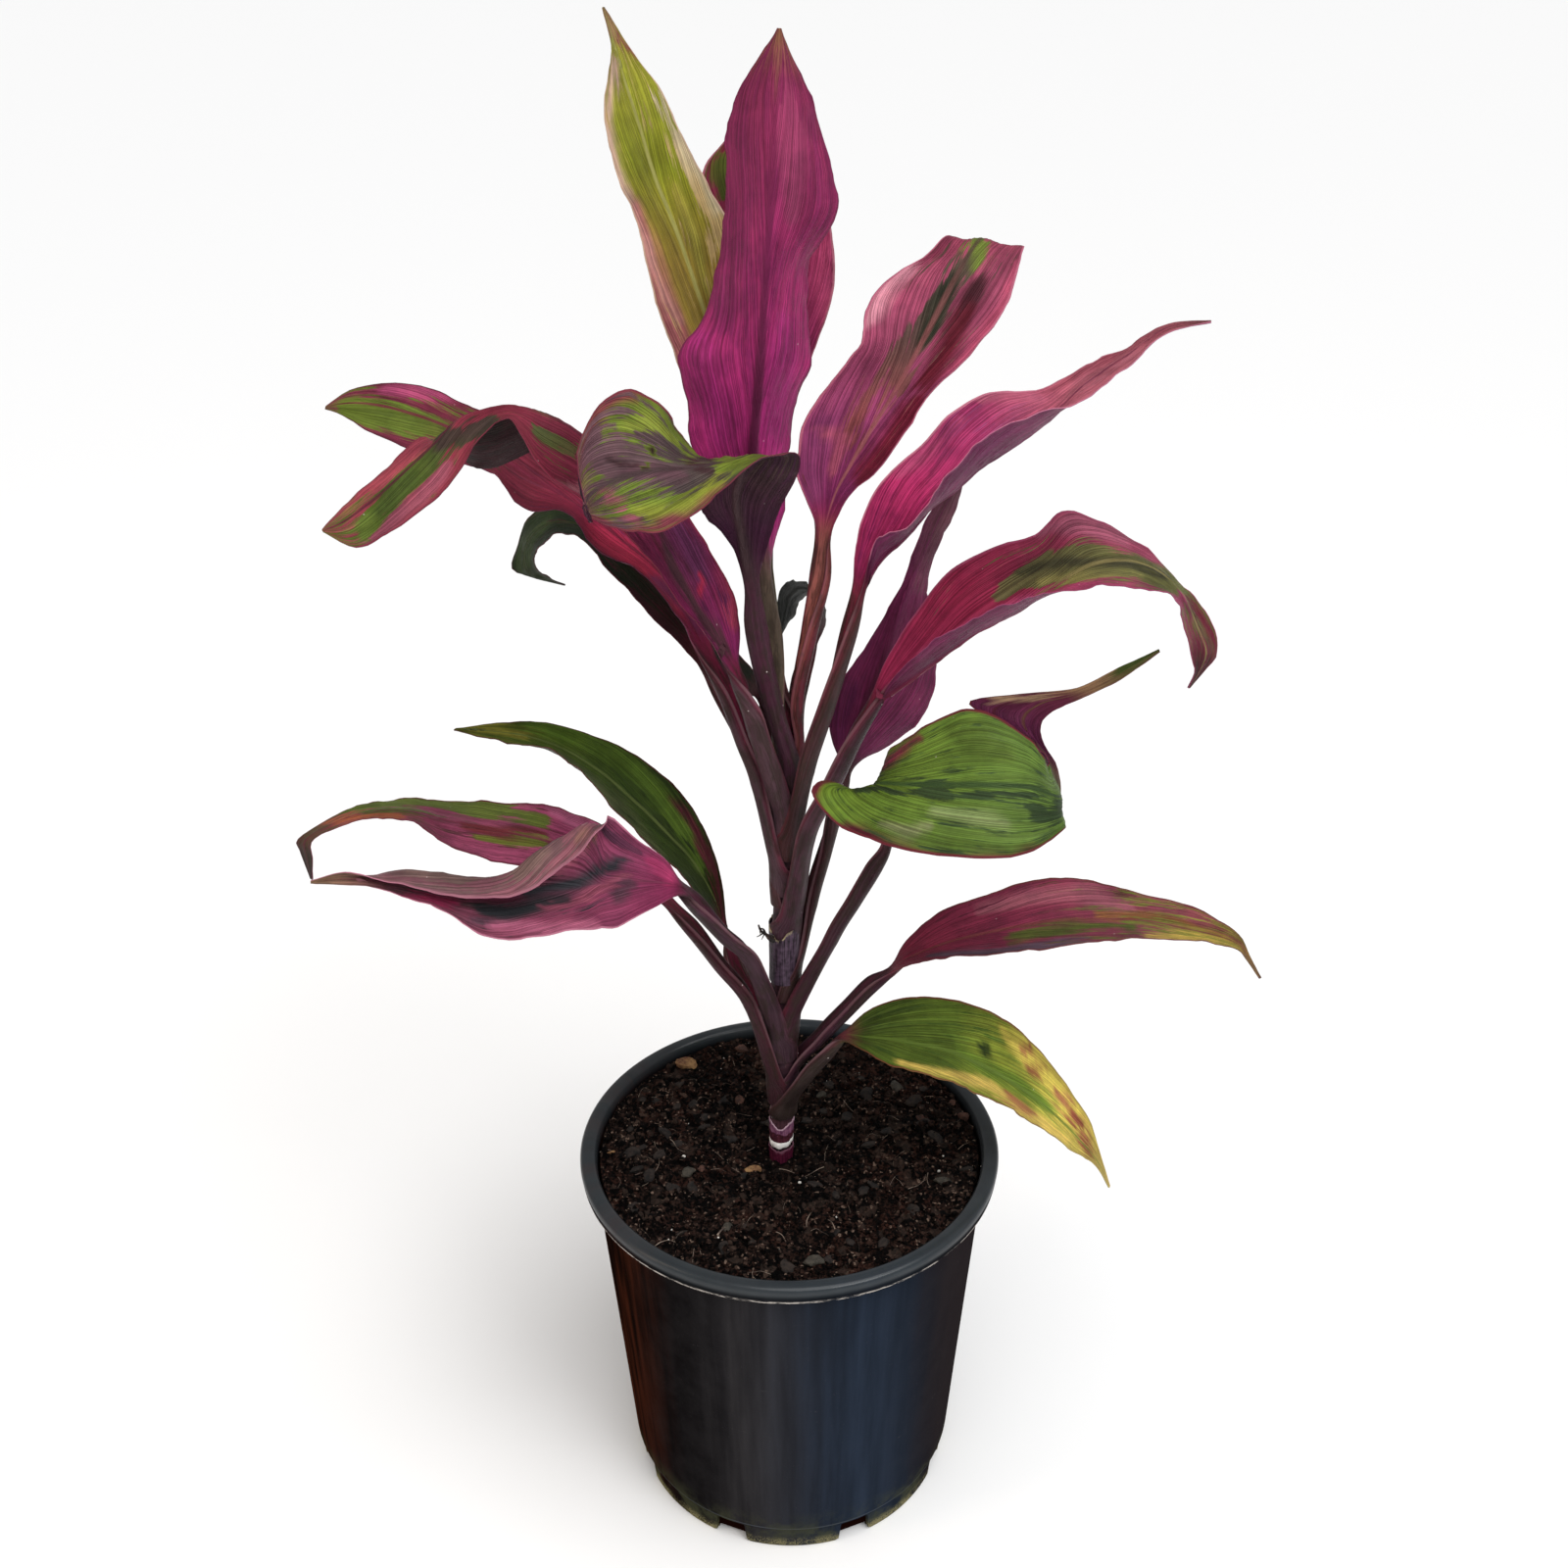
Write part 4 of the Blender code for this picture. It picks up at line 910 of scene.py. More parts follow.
# %% Right upright leaf
add_leaf(
    "leaf_right_upright", "leaf_pink", -4.0, 388.0, [(811, 720, 1), (824, 650, 4), (836, 592, 6)], [
        (833, 545, 6, 840, 547, 8, 848, 546, 7), (822, 508, 2, 851, 508, 10, 868, 505, 8),
        (813, 480, 0, 866, 478, 12, 896, 480, 8), (819, 435, 0, 888, 440, 14, 925, 440, 10),
        (843, 395, 4, 912, 402, 18, 948, 404, 13), (876, 355, 8, 934, 362, 22, 985, 367, 15),
        (884, 315, 14, 955, 322, 28, 1020, 325, 20), (908, 283, 22, 974, 285, 34, 1035, 290, 28),
        (943, 262, 32, 990, 257, 41, 1042, 262, 38), (966, 241, 44, 1003, 243, 50, 1045, 251, 48),
        (985, 258, 62, 1012, 258, 65, 1036, 266, 60),
    ], (1012, 305, 78), wide=3.8, root=2.6,
    ground={0.0: (150, 30, 70), 0.1: (140, 40, 100), 0.3: (158, 60, 112), 0.5: (172, 72, 108),
        0.8: (150, 56, 84), 1.0: (150, 70, 90)},
    streak={0.0: MAROON, 0.3: (150, 74, 78), 0.5: (110, 84, 76), 0.8: (60, 64, 44), 1.0: (104, 120, 44)},
    share={0.0: 0.25, 0.4: 0.3, 1.0: 0.3},
    rib={0.0: (186, 104, 104), 0.45: (150, 84, 84), 0.7: (84, 60, 52), 1.0: (84, 84, 50)},
    margin=(196, 100, 128), skin=((112, 30, 48), (186, 104, 92)),
    strokes=(
        ("ground", ((142, 54, 106), 16, (828, 505), (826, 470), (842, 430))),
        ("share", (0.05, 20, (900, 300), (872, 350), (842, 410), (828, 470)),
         (0.75, 13, (868, 455), (888, 410), (918, 362), (936, 330)),
         (0.95, 13, (1000, 248), (968, 296), (950, 330), (934, 358)),
         (0.9, 7, (934, 352), (924, 378), (916, 400))),
        ("streak", ((104, 122, 42), 15, (986, 256), (1008, 250), (996, 272)),
         ((46, 52, 38), 14, (972, 284), (954, 322), (940, 350))),
        # The light pink along the left margin is partly the leaf's own pink and partly a painted highlight at
        # its upper end.
        ("ground", ((222, 144, 162), 13, (926, 272), (902, 296), (884, 332)),
         ((124, 40, 68), 12, (948, 258), (968, 246))),
        ("both", ((84, 34, 46), 12, (1004, 284), (988, 314), (966, 344))),
        ("ground", ((104, 18, 40), 16, (990, 316), (966, 356), (940, 396))),
        ("both", ((190, 84, 116), 9, (838, 440), (858, 446), (850, 480))),
        ("ground", ((126, 20, 52), 18, (936, 408), (912, 446), (880, 490)),
         ((196, 76, 112), 9, (1036, 268), (1024, 318), (996, 360), (968, 392))),
        ("share", (0.1, 12, (1034, 272), (1022, 318), (992, 360), (954, 404), (918, 452))),
    ),
)

# %% Right wavy leaf
add_leaf(
    "leaf_right_wavy", "leaf_magenta", -42.0, 358.0, [(822, 785, -9), (843, 720, -11), (864, 650, -12)], [
        (870, 598, -10, 876, 602, -12, 881, 600, -14), (873, 560, -6, 893, 572, -14, 893, 552, -24),
        (884, 517, -4, 925, 542, -15, 920, 541, -29), (906, 484, -2, 950, 514, -15, 949, 512, -33),
        (938, 456, 0, 972, 499, -14, 962, 490, -35), (970, 422, 2, 1000, 475, -14, 988, 463, -36),
        (1010, 400, 4, 1040, 450, -13, 1020, 436, -36), (1055, 399, 4, 1073, 424, -11, 1066, 421, -32),
        (1110, 372, 4, 1108, 392, -8, 1110, 406, -24), (1150, 354, 2, 1150, 363, -6, 1150, 374, -16),
        (1190, 331, 0, 1190, 335, -4, 1190, 341, -9),
    ], (1236, 328, -4), wide=4.2, root=3.4, under=((112, 42, 88), 0.85), ripple=0.8,
    ground={0.0: (176, 24, 94), 0.3: (186, 26, 102), 0.5: (176, 46, 108), 0.68: (214, 106, 130),
        0.92: (220, 122, 136), 1.0: BROWN},
    streak={0.0: MAGENTA, 0.3: (146, 16, 76), 0.5: (160, 62, 116), 0.7: (190, 92, 112), 1.0: (176, 84, 96)},
    share={0.0: 0.4, 1.0: 0.5}, rib=(124, 30, 72), margin=(204, 120, 144), skin=(STALK_BROWN, (130, 22, 54)),
    strokes=(
        # The lighter pink across the lower lobe is partly the leaf's own pink and partly a painted highlight.
        ("ground", ((188, 66, 116), 12, (918, 486), (950, 458), (978, 430)),
         ((196, 96, 126), 9, (1000, 408), (1040, 402), (1060, 408))),
        ("share", (0.05, 9, (1000, 408), (1040, 402), (1060, 408))),
        ("ground", ((140, 52, 74), 7, (1070, 398), (1120, 368), (1160, 348), (1196, 332)),
         ((200, 110, 128), 8, (1090, 404), (1130, 380), (1160, 362)),
         ((84, 56, 48), 6, (1200, 330), (1236, 330))),
    ),
)

# %% Front arched leaf
add_leaf(
    "leaf_front_arched", "leaf_green", -80.0, 386.0, [(790, 725, -10), (779, 680, -14), (771, 637, -16)], [
        (775, 594, -15, 767, 597, -16, 760, 593, -15), (784, 555, -24, 759, 551, -24, 741, 548, -22),
        (799, 512, -36, 752, 509, -33, 716, 522, -24), (815, 482, -52, 758, 482, -43, 722, 490, -28),
        (810, 461, -64, 768, 464, -51, 740, 466, -38), (762, 478, -78, 740, 471, -64, 716, 468, -47),
        (715, 520, -86, 700, 478, -74, 698, 446, -52), (680, 541, -96, 668, 480, -84, 672, 412, -60),
        (648, 543, -103, 636, 487, -93, 640, 397, -70), (620, 537, -107, 608, 500, -101, 607, 418, -82),
        (604, 528, -110, 597, 514, -108, 590, 465, -97),
    ], (602, 532, -112), wide=3.5, root=2.6, under=((58, 26, 50), 0.9), ripple=0.8,
    ground={0.0: (150, 20, 90), 0.12: (96, 22, 72), 0.3: (112, 130, 34), 0.8: (104, 126, 34),
        1.0: (150, 84, 94)},
    streak={0.0: MAGENTA, 0.35: (58, 56, 42), 0.6: (84, 70, 70), 0.85: (110, 76, 84), 1.0: (150, 84, 94)},
    share={0.0: 0.2, 0.35: 0.45, 1.0: 0.5}, rib=(70, 52, 54), margin=(124, 44, 58),
    skin=((72, 34, 52), (140, 20, 76)),
    strokes=(
        ("share", (0.05, 11, (636, 428), (664, 428), (690, 452)),
         (0.15, 10, (650, 520), (684, 528), (730, 496)), (0.1, 8, (735, 478), (765, 470)),
         (0.95, 15, (616, 478), (650, 478), (700, 484), (722, 478)), (0.8, 10, (610, 436), (600, 466)),
         (0.7, 8, (654, 440), (676, 452), (690, 466))),
        ("ground", ((132, 146, 48), 13, (640, 430), (664, 430), (688, 452))),
        ("share", (0.65, 5, (628, 446), (646, 458), (668, 462), (690, 474))),
        ("ground", ((146, 156, 44), 14, (652, 522), (690, 524), (736, 488)),
         ((128, 52, 62), 9, (594, 470), (602, 430), (622, 404), (650, 400)),
         ((130, 50, 66), 6, (604, 530), (650, 541), (700, 530), (745, 492))),
        ("streak", ((160, 78, 98), 10, (616, 504), (634, 516), (648, 528)),
         ((96, 66, 74), 12, (640, 484), (672, 482), (700, 484))),
        ("ground", ((44, 20, 26), 4, (658, 453), (661, 457), (664, 462)),
         ((52, 22, 28), 5, (658, 478), (664, 480))),
        ("share", (0.0, 4, (658, 453), (664, 462)), (0.0, 5, (658, 478), (664, 480))),
        ("streak", ((66, 40, 44), 4, (620, 470), (636, 474), (650, 476)),
         ((62, 38, 42), 5, (700, 470), (716, 476), (730, 480))),
    ),
)

# %% [markdown]
# ## The left side
#
# The older leaves arch over and hang. Their undersides are a dull purple with plain ribs, and the
# green patches are places where the pigment fades along the veins.

# %% Left arched leaf
add_leaf(
    "leaf_left_arched", "leaf_pink", -124.0, 364.0, [(773, 745, -16), (760, 708, -19)], [
        (742, 684, -22, 748, 680, -20, 754, 676, -18), (722, 650, -24, 732, 655, -21, 755, 642, -14),
        (698, 622, -27, 708, 616, -22, 748, 605, -12), (668, 578, -34, 683, 575, -25, 725, 563, -12),
        (640, 546, -42, 655, 530, -28, 692, 510, -10), (610, 520, -48, 628, 484, -31, 655, 470, -10),
        (580, 500, -54, 595, 446, -34, 610, 452, -12), (548, 474, -56, 562, 424, -36, 566, 452, -15),
        (527, 434, -50, 533, 416, -36, 535, 463, -20), (510, 429, -46, 505, 416, -37, 498, 478, -22),
        (480, 462, -50, 470, 426, -41, 465, 468, -27), (452, 503, -54, 441, 455, -44, 433, 446, -34),
        (420, 528, -54, 408, 486, -46, 402, 470, -36), (392, 547, -54, 379, 512, -48, 373, 497, -38),
        (363, 559, -54, 352, 532, -49, 345, 522, -42),
    ], (329, 542, -50), wide=4.6, root=3.4, under=((40, 30, 32), 0.92), ripple=0.7,
    ground={0.0: MAGENTA, 0.22: (124, 26, 74), 0.4: (112, 28, 52), 0.6: (132, 34, 58), 0.8: (160, 56, 76),
        1.0: (176, 70, 88)},
    streak={0.0: PURPLE, 0.3: (88, 20, 44), 0.45: (84, 92, 44), 0.65: (62, 60, 46), 0.8: (88, 110, 32),
        1.0: (100, 122, 36)},
    share={0.0: 0.35, 0.5: 0.3, 0.75: 0.4, 1.0: 0.5}, rib=(86, 28, 46), margin=(132, 36, 62),
    skin=(STALK_GREY, (130, 22, 64)),
    strokes=(
        ("ground", ((110, 46, 90), 20, (716, 590), (702, 560), (684, 534))),
        ("share", (0.1, 16, (720, 586), (706, 556))),
        ("both", ((176, 16, 66), 5, (714, 586), (718, 594), (714, 604)),
         ((80, 46, 56), 7, (672, 544), (690, 584), (722, 636), (758, 690)),
         ((176, 104, 116), 7, (560, 500), (590, 502), (604, 512))),
        ("ground", ((150, 40, 74), 12, (752, 640), (748, 606), (736, 570))),
        ("share", (0.95, 8, (548, 440), (572, 452), (592, 462)),
         (0.95, 13, (470, 440), (452, 454), (430, 478), (400, 508), (372, 545)),
         (0.95, 10, (480, 436), (500, 430), (470, 446))),
        ("streak", ((70, 56, 50), 14, (500, 428), (470, 438), (446, 452)),
         ((78, 98, 36), 14, (420, 484), (400, 508), (384, 526)),
         ((104, 126, 44), 13, (378, 530), (360, 546), (344, 556))),
        ("ground", ((190, 72, 88), 11, (430, 464), (402, 486), (370, 508), (352, 530)),
         ((156, 76, 96), 10, (458, 470), (430, 506), (400, 528), (372, 552))),
        ("share", (0.05, 8, (436, 450), (400, 480), (366, 506)),
         (0.05, 9, (458, 474), (430, 508), (404, 530), (384, 546))),
    ),
)

# %% Left behind leaf
add_leaf(
    "leaf_left_behind", "leaf_pink", -170.0, 340.0, [(775, 800, -2), (759, 755, 0), (741, 705, 4)], [
        (713, 668, 4, 720, 664, 8, 727, 660, 11), (694, 632, 2, 697, 620, 11, 722, 612, 22),
        (658, 588, -2, 672, 583, 14, 700, 560, 28), (606, 558, -4, 628, 545, 18, 660, 515, 34),
        (580, 523, 0, 585, 512, 22, 615, 475, 38), (537, 520, 4, 545, 488, 26, 565, 445, 42),
        (503, 484, 8, 500, 460, 29, 520, 428, 46), (460, 470, 12, 455, 435, 30, 478, 414, 46),
        (412, 455, 14, 412, 420, 30, 432, 394, 42), (375, 440, 18, 376, 412, 28, 392, 391, 36),
        (350, 424, 22, 350, 412, 26, 357, 398, 30),
    ], (332, 416, 24), wide=4.4, root=3.8, under=(PURPLE, 0.6),
    ground={0.0: (150, 22, 76), 0.25: (150, 20, 66), 0.45: (112, 24, 48), 0.75: (120, 36, 62),
        1.0: (150, 60, 84)},
    streak={0.0: MAGENTA, 0.5: (84, 22, 40), 0.7: (104, 124, 36), 1.0: (98, 118, 34)},
    share={0.0: 0.3, 0.5: 0.35, 0.75: 0.4, 1.0: 0.5}, rib=(112, 22, 52), margin=(96, 26, 46),
    skin=(STALK_GREY, (140, 20, 66)),
    strokes=(
        ("share", (1.3, 13, (452, 440), (425, 430), (388, 420), (352, 418))),
        ("ground", ((178, 66, 112), 11, (474, 404), (430, 396), (392, 396))),
        ("share", (0.05, 10, (474, 402), (430, 394), (388, 396)),
         (0.1, 7, (400, 446), (440, 462), (478, 476))),
        ("ground", ((176, 20, 68), 16, (608, 540), (648, 578), (700, 626)),
         ((128, 44, 90), 9, (668, 590), (700, 618), (722, 650))),
        ("share", (0.05, 14, (600, 534), (650, 580), (700, 626))),
    ),
)

# %% Left dark leaf
add_leaf(
    "leaf_left_dark", "leaf_dark", 118.0, 334.0, [(781, 800, 12), (760, 750, 15), (739, 710, 18)], [
        (717, 686, 18, 722, 681, 20, 728, 677, 22), (698, 662, 22, 708, 650, 28, 722, 640, 36),
        (660, 624, 24, 675, 605, 36, 695, 585, 48), (620, 580, 30, 640, 565, 44, 665, 545, 58),
        (592, 549, 38, 605, 540, 52, 620, 515, 68), (568, 545, 46, 570, 532, 60, 572, 512, 74),
        (553, 556, 52, 545, 545, 66, 540, 527, 78), (546, 567, 56, 536, 563, 68, 528, 557, 78),
        (552, 585, 58, 540, 585, 66, 526, 583, 74),
    ], (576, 597, 62), wide=3.6, root=3.2, under=((30, 38, 22), 0.9),
    ground={0.0: MAROON, 0.3: (34, 46, 20), 0.6: (38, 54, 24), 1.0: (44, 54, 30)},
    streak={0.0: MAROON, 1.0: (70, 30, 36)}, share={0.0: 0.4, 1.0: 0.15}, rib=(60, 66, 34),
    margin=(96, 30, 46), skin=(STALK_BROWN, MAROON),
    strokes=(
        ("share", (0.9, 6, (700, 658), (660, 624), (614, 582))),
        ("ground", ((58, 76, 34), 8, (560, 530), (536, 556), (534, 580))),
    ),
)

# %% Back left leaf
add_leaf(
    "leaf_back_left", "leaf_dark", 88.0, 352.0, [(795, 765, 17), (786, 733, 23)], [
        (771, 712, 26, 775, 708, 26, 779, 704, 27), (751, 706, 38, 756, 697, 43, 768, 683, 47),
        (731, 687, 56, 737, 673, 61, 745, 655, 65), (712, 660, 74, 722, 645, 79, 736, 620, 82),
        (694, 636, 90, 705, 622, 94, 717, 600, 96), (682, 614, 101, 690, 605, 103, 700, 588, 104),
    ], (676, 592, 109), wide=3.4, root=3.2, under=((30, 32, 24), 0.9),
    ground={0.0: MAROON, 0.15: (30, 36, 24), 1.0: (40, 48, 28)}, streak=MAROON, share={0.0: 0.3, 1.0: 0.2},
    margin=(110, 30, 56), skin=(STALK_BROWN, MAROON),
)

# %% Back small leaf
add_leaf(
    "leaf_back_small", "leaf_dark", 35.0, 366.0, [(811, 735, 13), (817, 692, 19)], [
        (824, 658, 26, 829, 657, 27, 835, 656, 28), (825, 626, 40, 834, 628, 44, 842, 636, 50),
        (823, 598, 56, 831, 603, 60, 841, 614, 68), (809, 592, 72, 817, 599, 78, 827, 607, 86),
        (796, 602, 84, 805, 610, 91, 815, 616, 100), (793, 622, 92, 800, 628, 98, 807, 632, 106),
    ], (796, 649, 102), wide=3.0, root=2.6, under=((16, 20, 14), 0.92), ripple=1.0,
    ground={0.0: MAROON, 0.3: (20, 26, 16), 1.0: (18, 22, 14)}, streak=(44, 50, 34),
    share={0.0: 0.3, 1.0: 0.35}, margin=(60, 66, 44), skin=(STALK_BROWN, MAROON),
)

# %% Left green leaf
add_leaf(
    "leaf_left_green", "leaf_green", 125.0, 240.0, [(778, 1028, 12), (762, 1008, 15), (749, 982, 18)], [
        (735, 948, 22, 738, 946, 22, 742, 944, 23), (722, 924, 14, 729, 916, 25, 738, 908, 28),
        (695, 893, 12, 708, 880, 30, 728, 868, 38), (655, 855, 10, 674, 843, 34, 705, 822, 48),
        (622, 820, 10, 642, 813, 38, 672, 787, 54), (592, 787, 12, 612, 787, 40, 635, 763, 54),
        (562, 765, 16, 577, 766, 40, 595, 747, 50), (525, 759, 24, 541, 752, 38, 555, 737, 44),
        (490, 752, 30, 500, 746, 36, 512, 737, 38),
    ], (464, 744, 34), wide=3.2, root=3.2, under=((60, 60, 40), 0.5),
    ground={0.0: MAROON, 0.12: (44, 58, 18), 0.5: (64, 88, 24), 0.85: (84, 104, 30), 1.0: OLIVE},
    streak={0.0: (40, 52, 20), 0.6: (44, 62, 20), 1.0: (140, 136, 44)}, share={0.0: 0.4, 1.0: 0.35},
    rib=(104, 118, 58), margin=(96, 36, 40), skin=(STALK_BROWN, (110, 20, 50)),
    strokes=(
        ("ground", ((88, 118, 30), 13, (540, 744), (600, 756), (652, 784), (690, 834), (716, 884))),
        ("share", (0.05, 12, (560, 746), (620, 764), (664, 796), (700, 850))),
        ("ground", ((154, 152, 52), 7, (478, 744), (512, 744), (536, 750))),
        ("share", (0.05, 7, (478, 744), (512, 744))),
        ("ground", ((84, 94, 52), 9, (566, 770), (600, 796), (640, 836), (680, 878)),
         ((100, 36, 48), 5, (680, 806), (712, 850), (732, 900), (736, 940))),
    ),
)

# %% Left long leaf
add_leaf(
    "leaf_left_long", "leaf_pink", -160.0, 224.0, [(767, 1025, -6), (735, 983, -9), (708, 948, -12)], [
        (676, 922, -15, 680, 918, -13, 684, 914, -10), (640, 906, -20, 646, 888, -10, 650, 866, 2),
        (590, 900, -26, 600, 872, -8, 610, 840, 12), (540, 886, -28, 550, 856, -8, 560, 822, 16),
        (490, 875, -28, 500, 846, -8, 508, 819, 16), (452, 859, -26, 457, 838, -10, 460, 817, 12),
        (415, 837, -22, 418, 827, -12, 417, 815, 6), (375, 836, -20, 375, 829, -13, 375, 820, -2),
        (340, 846, -18, 338, 841, -14, 338, 834, -8), (318, 859, -19, 312, 857, -16, 305, 856, -12),
        (319, 876, -19, 313, 873, -17, 306, 868, -14),
    ], (318, 897, -18), wide=3.6, root=3.6, under=((96, 44, 66), 0.75), ripple=0.7,
    ground={0.0: (160, 30, 90), 0.3: (158, 66, 104), 0.6: (144, 56, 84), 0.8: (120, 56, 60),
        0.9: (74, 48, 52), 1.0: (60, 44, 50)},
    streak={0.0: (110, 30, 60), 0.4: (96, 40, 60), 0.7: (82, 92, 38), 1.0: (56, 50, 46)},
    share={0.0: 0.35, 0.5: 0.4, 0.8: 0.5, 1.0: 0.4}, rib=(112, 40, 60), margin=(112, 30, 52),
    skin=((70, 38, 46), (100, 26, 44)),
    strokes=(
        ("streak", ((96, 112, 40), 14, (350, 826), (440, 820), (500, 826), (556, 842))),
        ("share", (0.98, 6, (352, 826), (400, 821), (450, 820), (510, 828), (556, 842))),
        ("streak", ((104, 112, 38), 9, (488, 855), (520, 858), (556, 860))),
        ("share", (0.98, 5, (488, 855), (520, 857), (556, 860))),
        ("both", ((112, 38, 46), 6, (470, 842), (510, 848), (560, 852))),
        ("ground", ((172, 92, 52), 6, (330, 842), (366, 834), (410, 834))),
        ("share", (0.1, 5, (330, 842), (366, 836), (410, 836))),
        ("ground", ((168, 84, 120), 12, (560, 826), (600, 840), (620, 870))),
    ),
)

# %% Left twisted leaf
add_leaf(
    "leaf_left_twisted", "leaf_pink", -142.0, 250.0, [(768, 982, -18), (740, 954, -24), (712, 924, -30)], [
        (694, 914, -36, 695, 909, -35, 694, 906, -34, 694, 902, -33, 693, 898, -31),
        (668, 926, -48, 672, 914, -42, 672, 900, -36, 676, 886, -31, 679, 876, -26),
        (632, 945, -62, 636, 925, -50, 638, 898, -38, 646, 876, -30, 654, 860, -24),
        (612, 947, -65, 614, 927, -52, 617, 901, -39, 619, 868, -32, 624, 833, -28),
        (603, 948, -67, 604, 929, -53, 606, 902, -40, 608, 849, -33, 617, 842, -39),
        (592, 949, -68, 594, 930, -54, 595, 904, -41, 595, 843, -35, 607, 852, -45),
        (570, 952, -69, 571, 933, -57, 573, 908, -43, 575, 853, -36, 588, 873, -49),
        (540, 957, -69, 541, 938, -58, 543, 913, -45, 546, 870, -39, 562, 894, -53),
        (510, 959, -68, 511, 941, -58, 514, 917, -47, 520, 890, -42, 535, 911, -57),
        (482, 949, -63, 481, 935, -56, 482, 916, -49, 488, 896, -44, 496, 917, -58),
        (446, 926, -58, 445, 920, -54, 444, 909, -49, 447, 890, -45, 450, 912, -58),
        (410, 915, -54, 409, 910, -51, 408, 902, -48, 408, 888, -45, 411, 903, -56),
        (378, 905, -51, 378, 902, -50, 378, 899, -49, 377, 894, -47, 378, 895, -53),
        (350, 903, -49, 350, 900, -49, 349, 897, -48, 349, 893, -48, 350, 890, -49),
    ], (317, 900, -48), wide=4.8, root=4.0, under=((140, 96, 100), 0.6), ripple=0.6,
    ground={0.0: (168, 40, 100), 0.15: (138, 56, 92), 0.5: (142, 62, 92), 0.8: (150, 84, 104), 1.0: TAN},
    streak={0.0: (130, 50, 84), 0.2: (92, 48, 72), 0.35: (52, 54, 60), 0.7: (56, 62, 58), 1.0: (110, 96, 80)},
    share={0.0: 0.2, 0.3: 0.35, 1.0: 0.4}, rib=(124, 52, 80), margin=(200, 120, 148),
    skin=((70, 48, 58), (92, 32, 58)),
    strokes=(
        ("ground", ((186, 50, 108), 9, (692, 900), (672, 884), (660, 876))),
        ("share", (0.9, 8, (652, 870), (634, 856), (620, 846))),
        ("both", ((54, 56, 62), 11, (536, 914), (560, 906), (590, 903), (612, 892), (636, 880)),
         ((50, 54, 58), 8, (484, 928), (516, 930), (548, 922), (580, 918)),
         ((96, 60, 76), 7, (626, 914), (646, 902)), ((100, 66, 82), 7, (480, 938), (504, 942), (530, 936)),
         ((158, 76, 100), 4, (552, 924), (580, 921), (616, 908), (640, 896))),
        ("share", (0.05, 8, (500, 944), (560, 942), (620, 934), (660, 922))),
        ("ground", ((184, 96, 128), 8, (500, 946), (560, 946), (612, 940)),
         ((192, 50, 104), 6, (414, 914), (440, 918), (466, 924))),
        ("share", (0.02, 6, (414, 914), (440, 918), (466, 924))),
        ("ground", ((150, 112, 78), 7, (604, 846), (588, 858)),
         ((184, 96, 120), 7, (590, 866), (566, 888), (540, 902))),
        ("streak", ((104, 106, 84), 14, (556, 872), (530, 892), (480, 900), (420, 893))),
        ("share", (0.85, 7, (572, 862), (552, 876), (528, 892)),
         (0.9, 6, (400, 892), (440, 894), (480, 899))),
        ("ground", ((150, 92, 112), 6, (400, 904), (440, 908), (480, 912))),
    ),
)

# %% [markdown]
# ## The right side
#
# The lowest leaves are the oldest. They turn yellow from the margins inwards, and their tips dry
# to a brown thread.

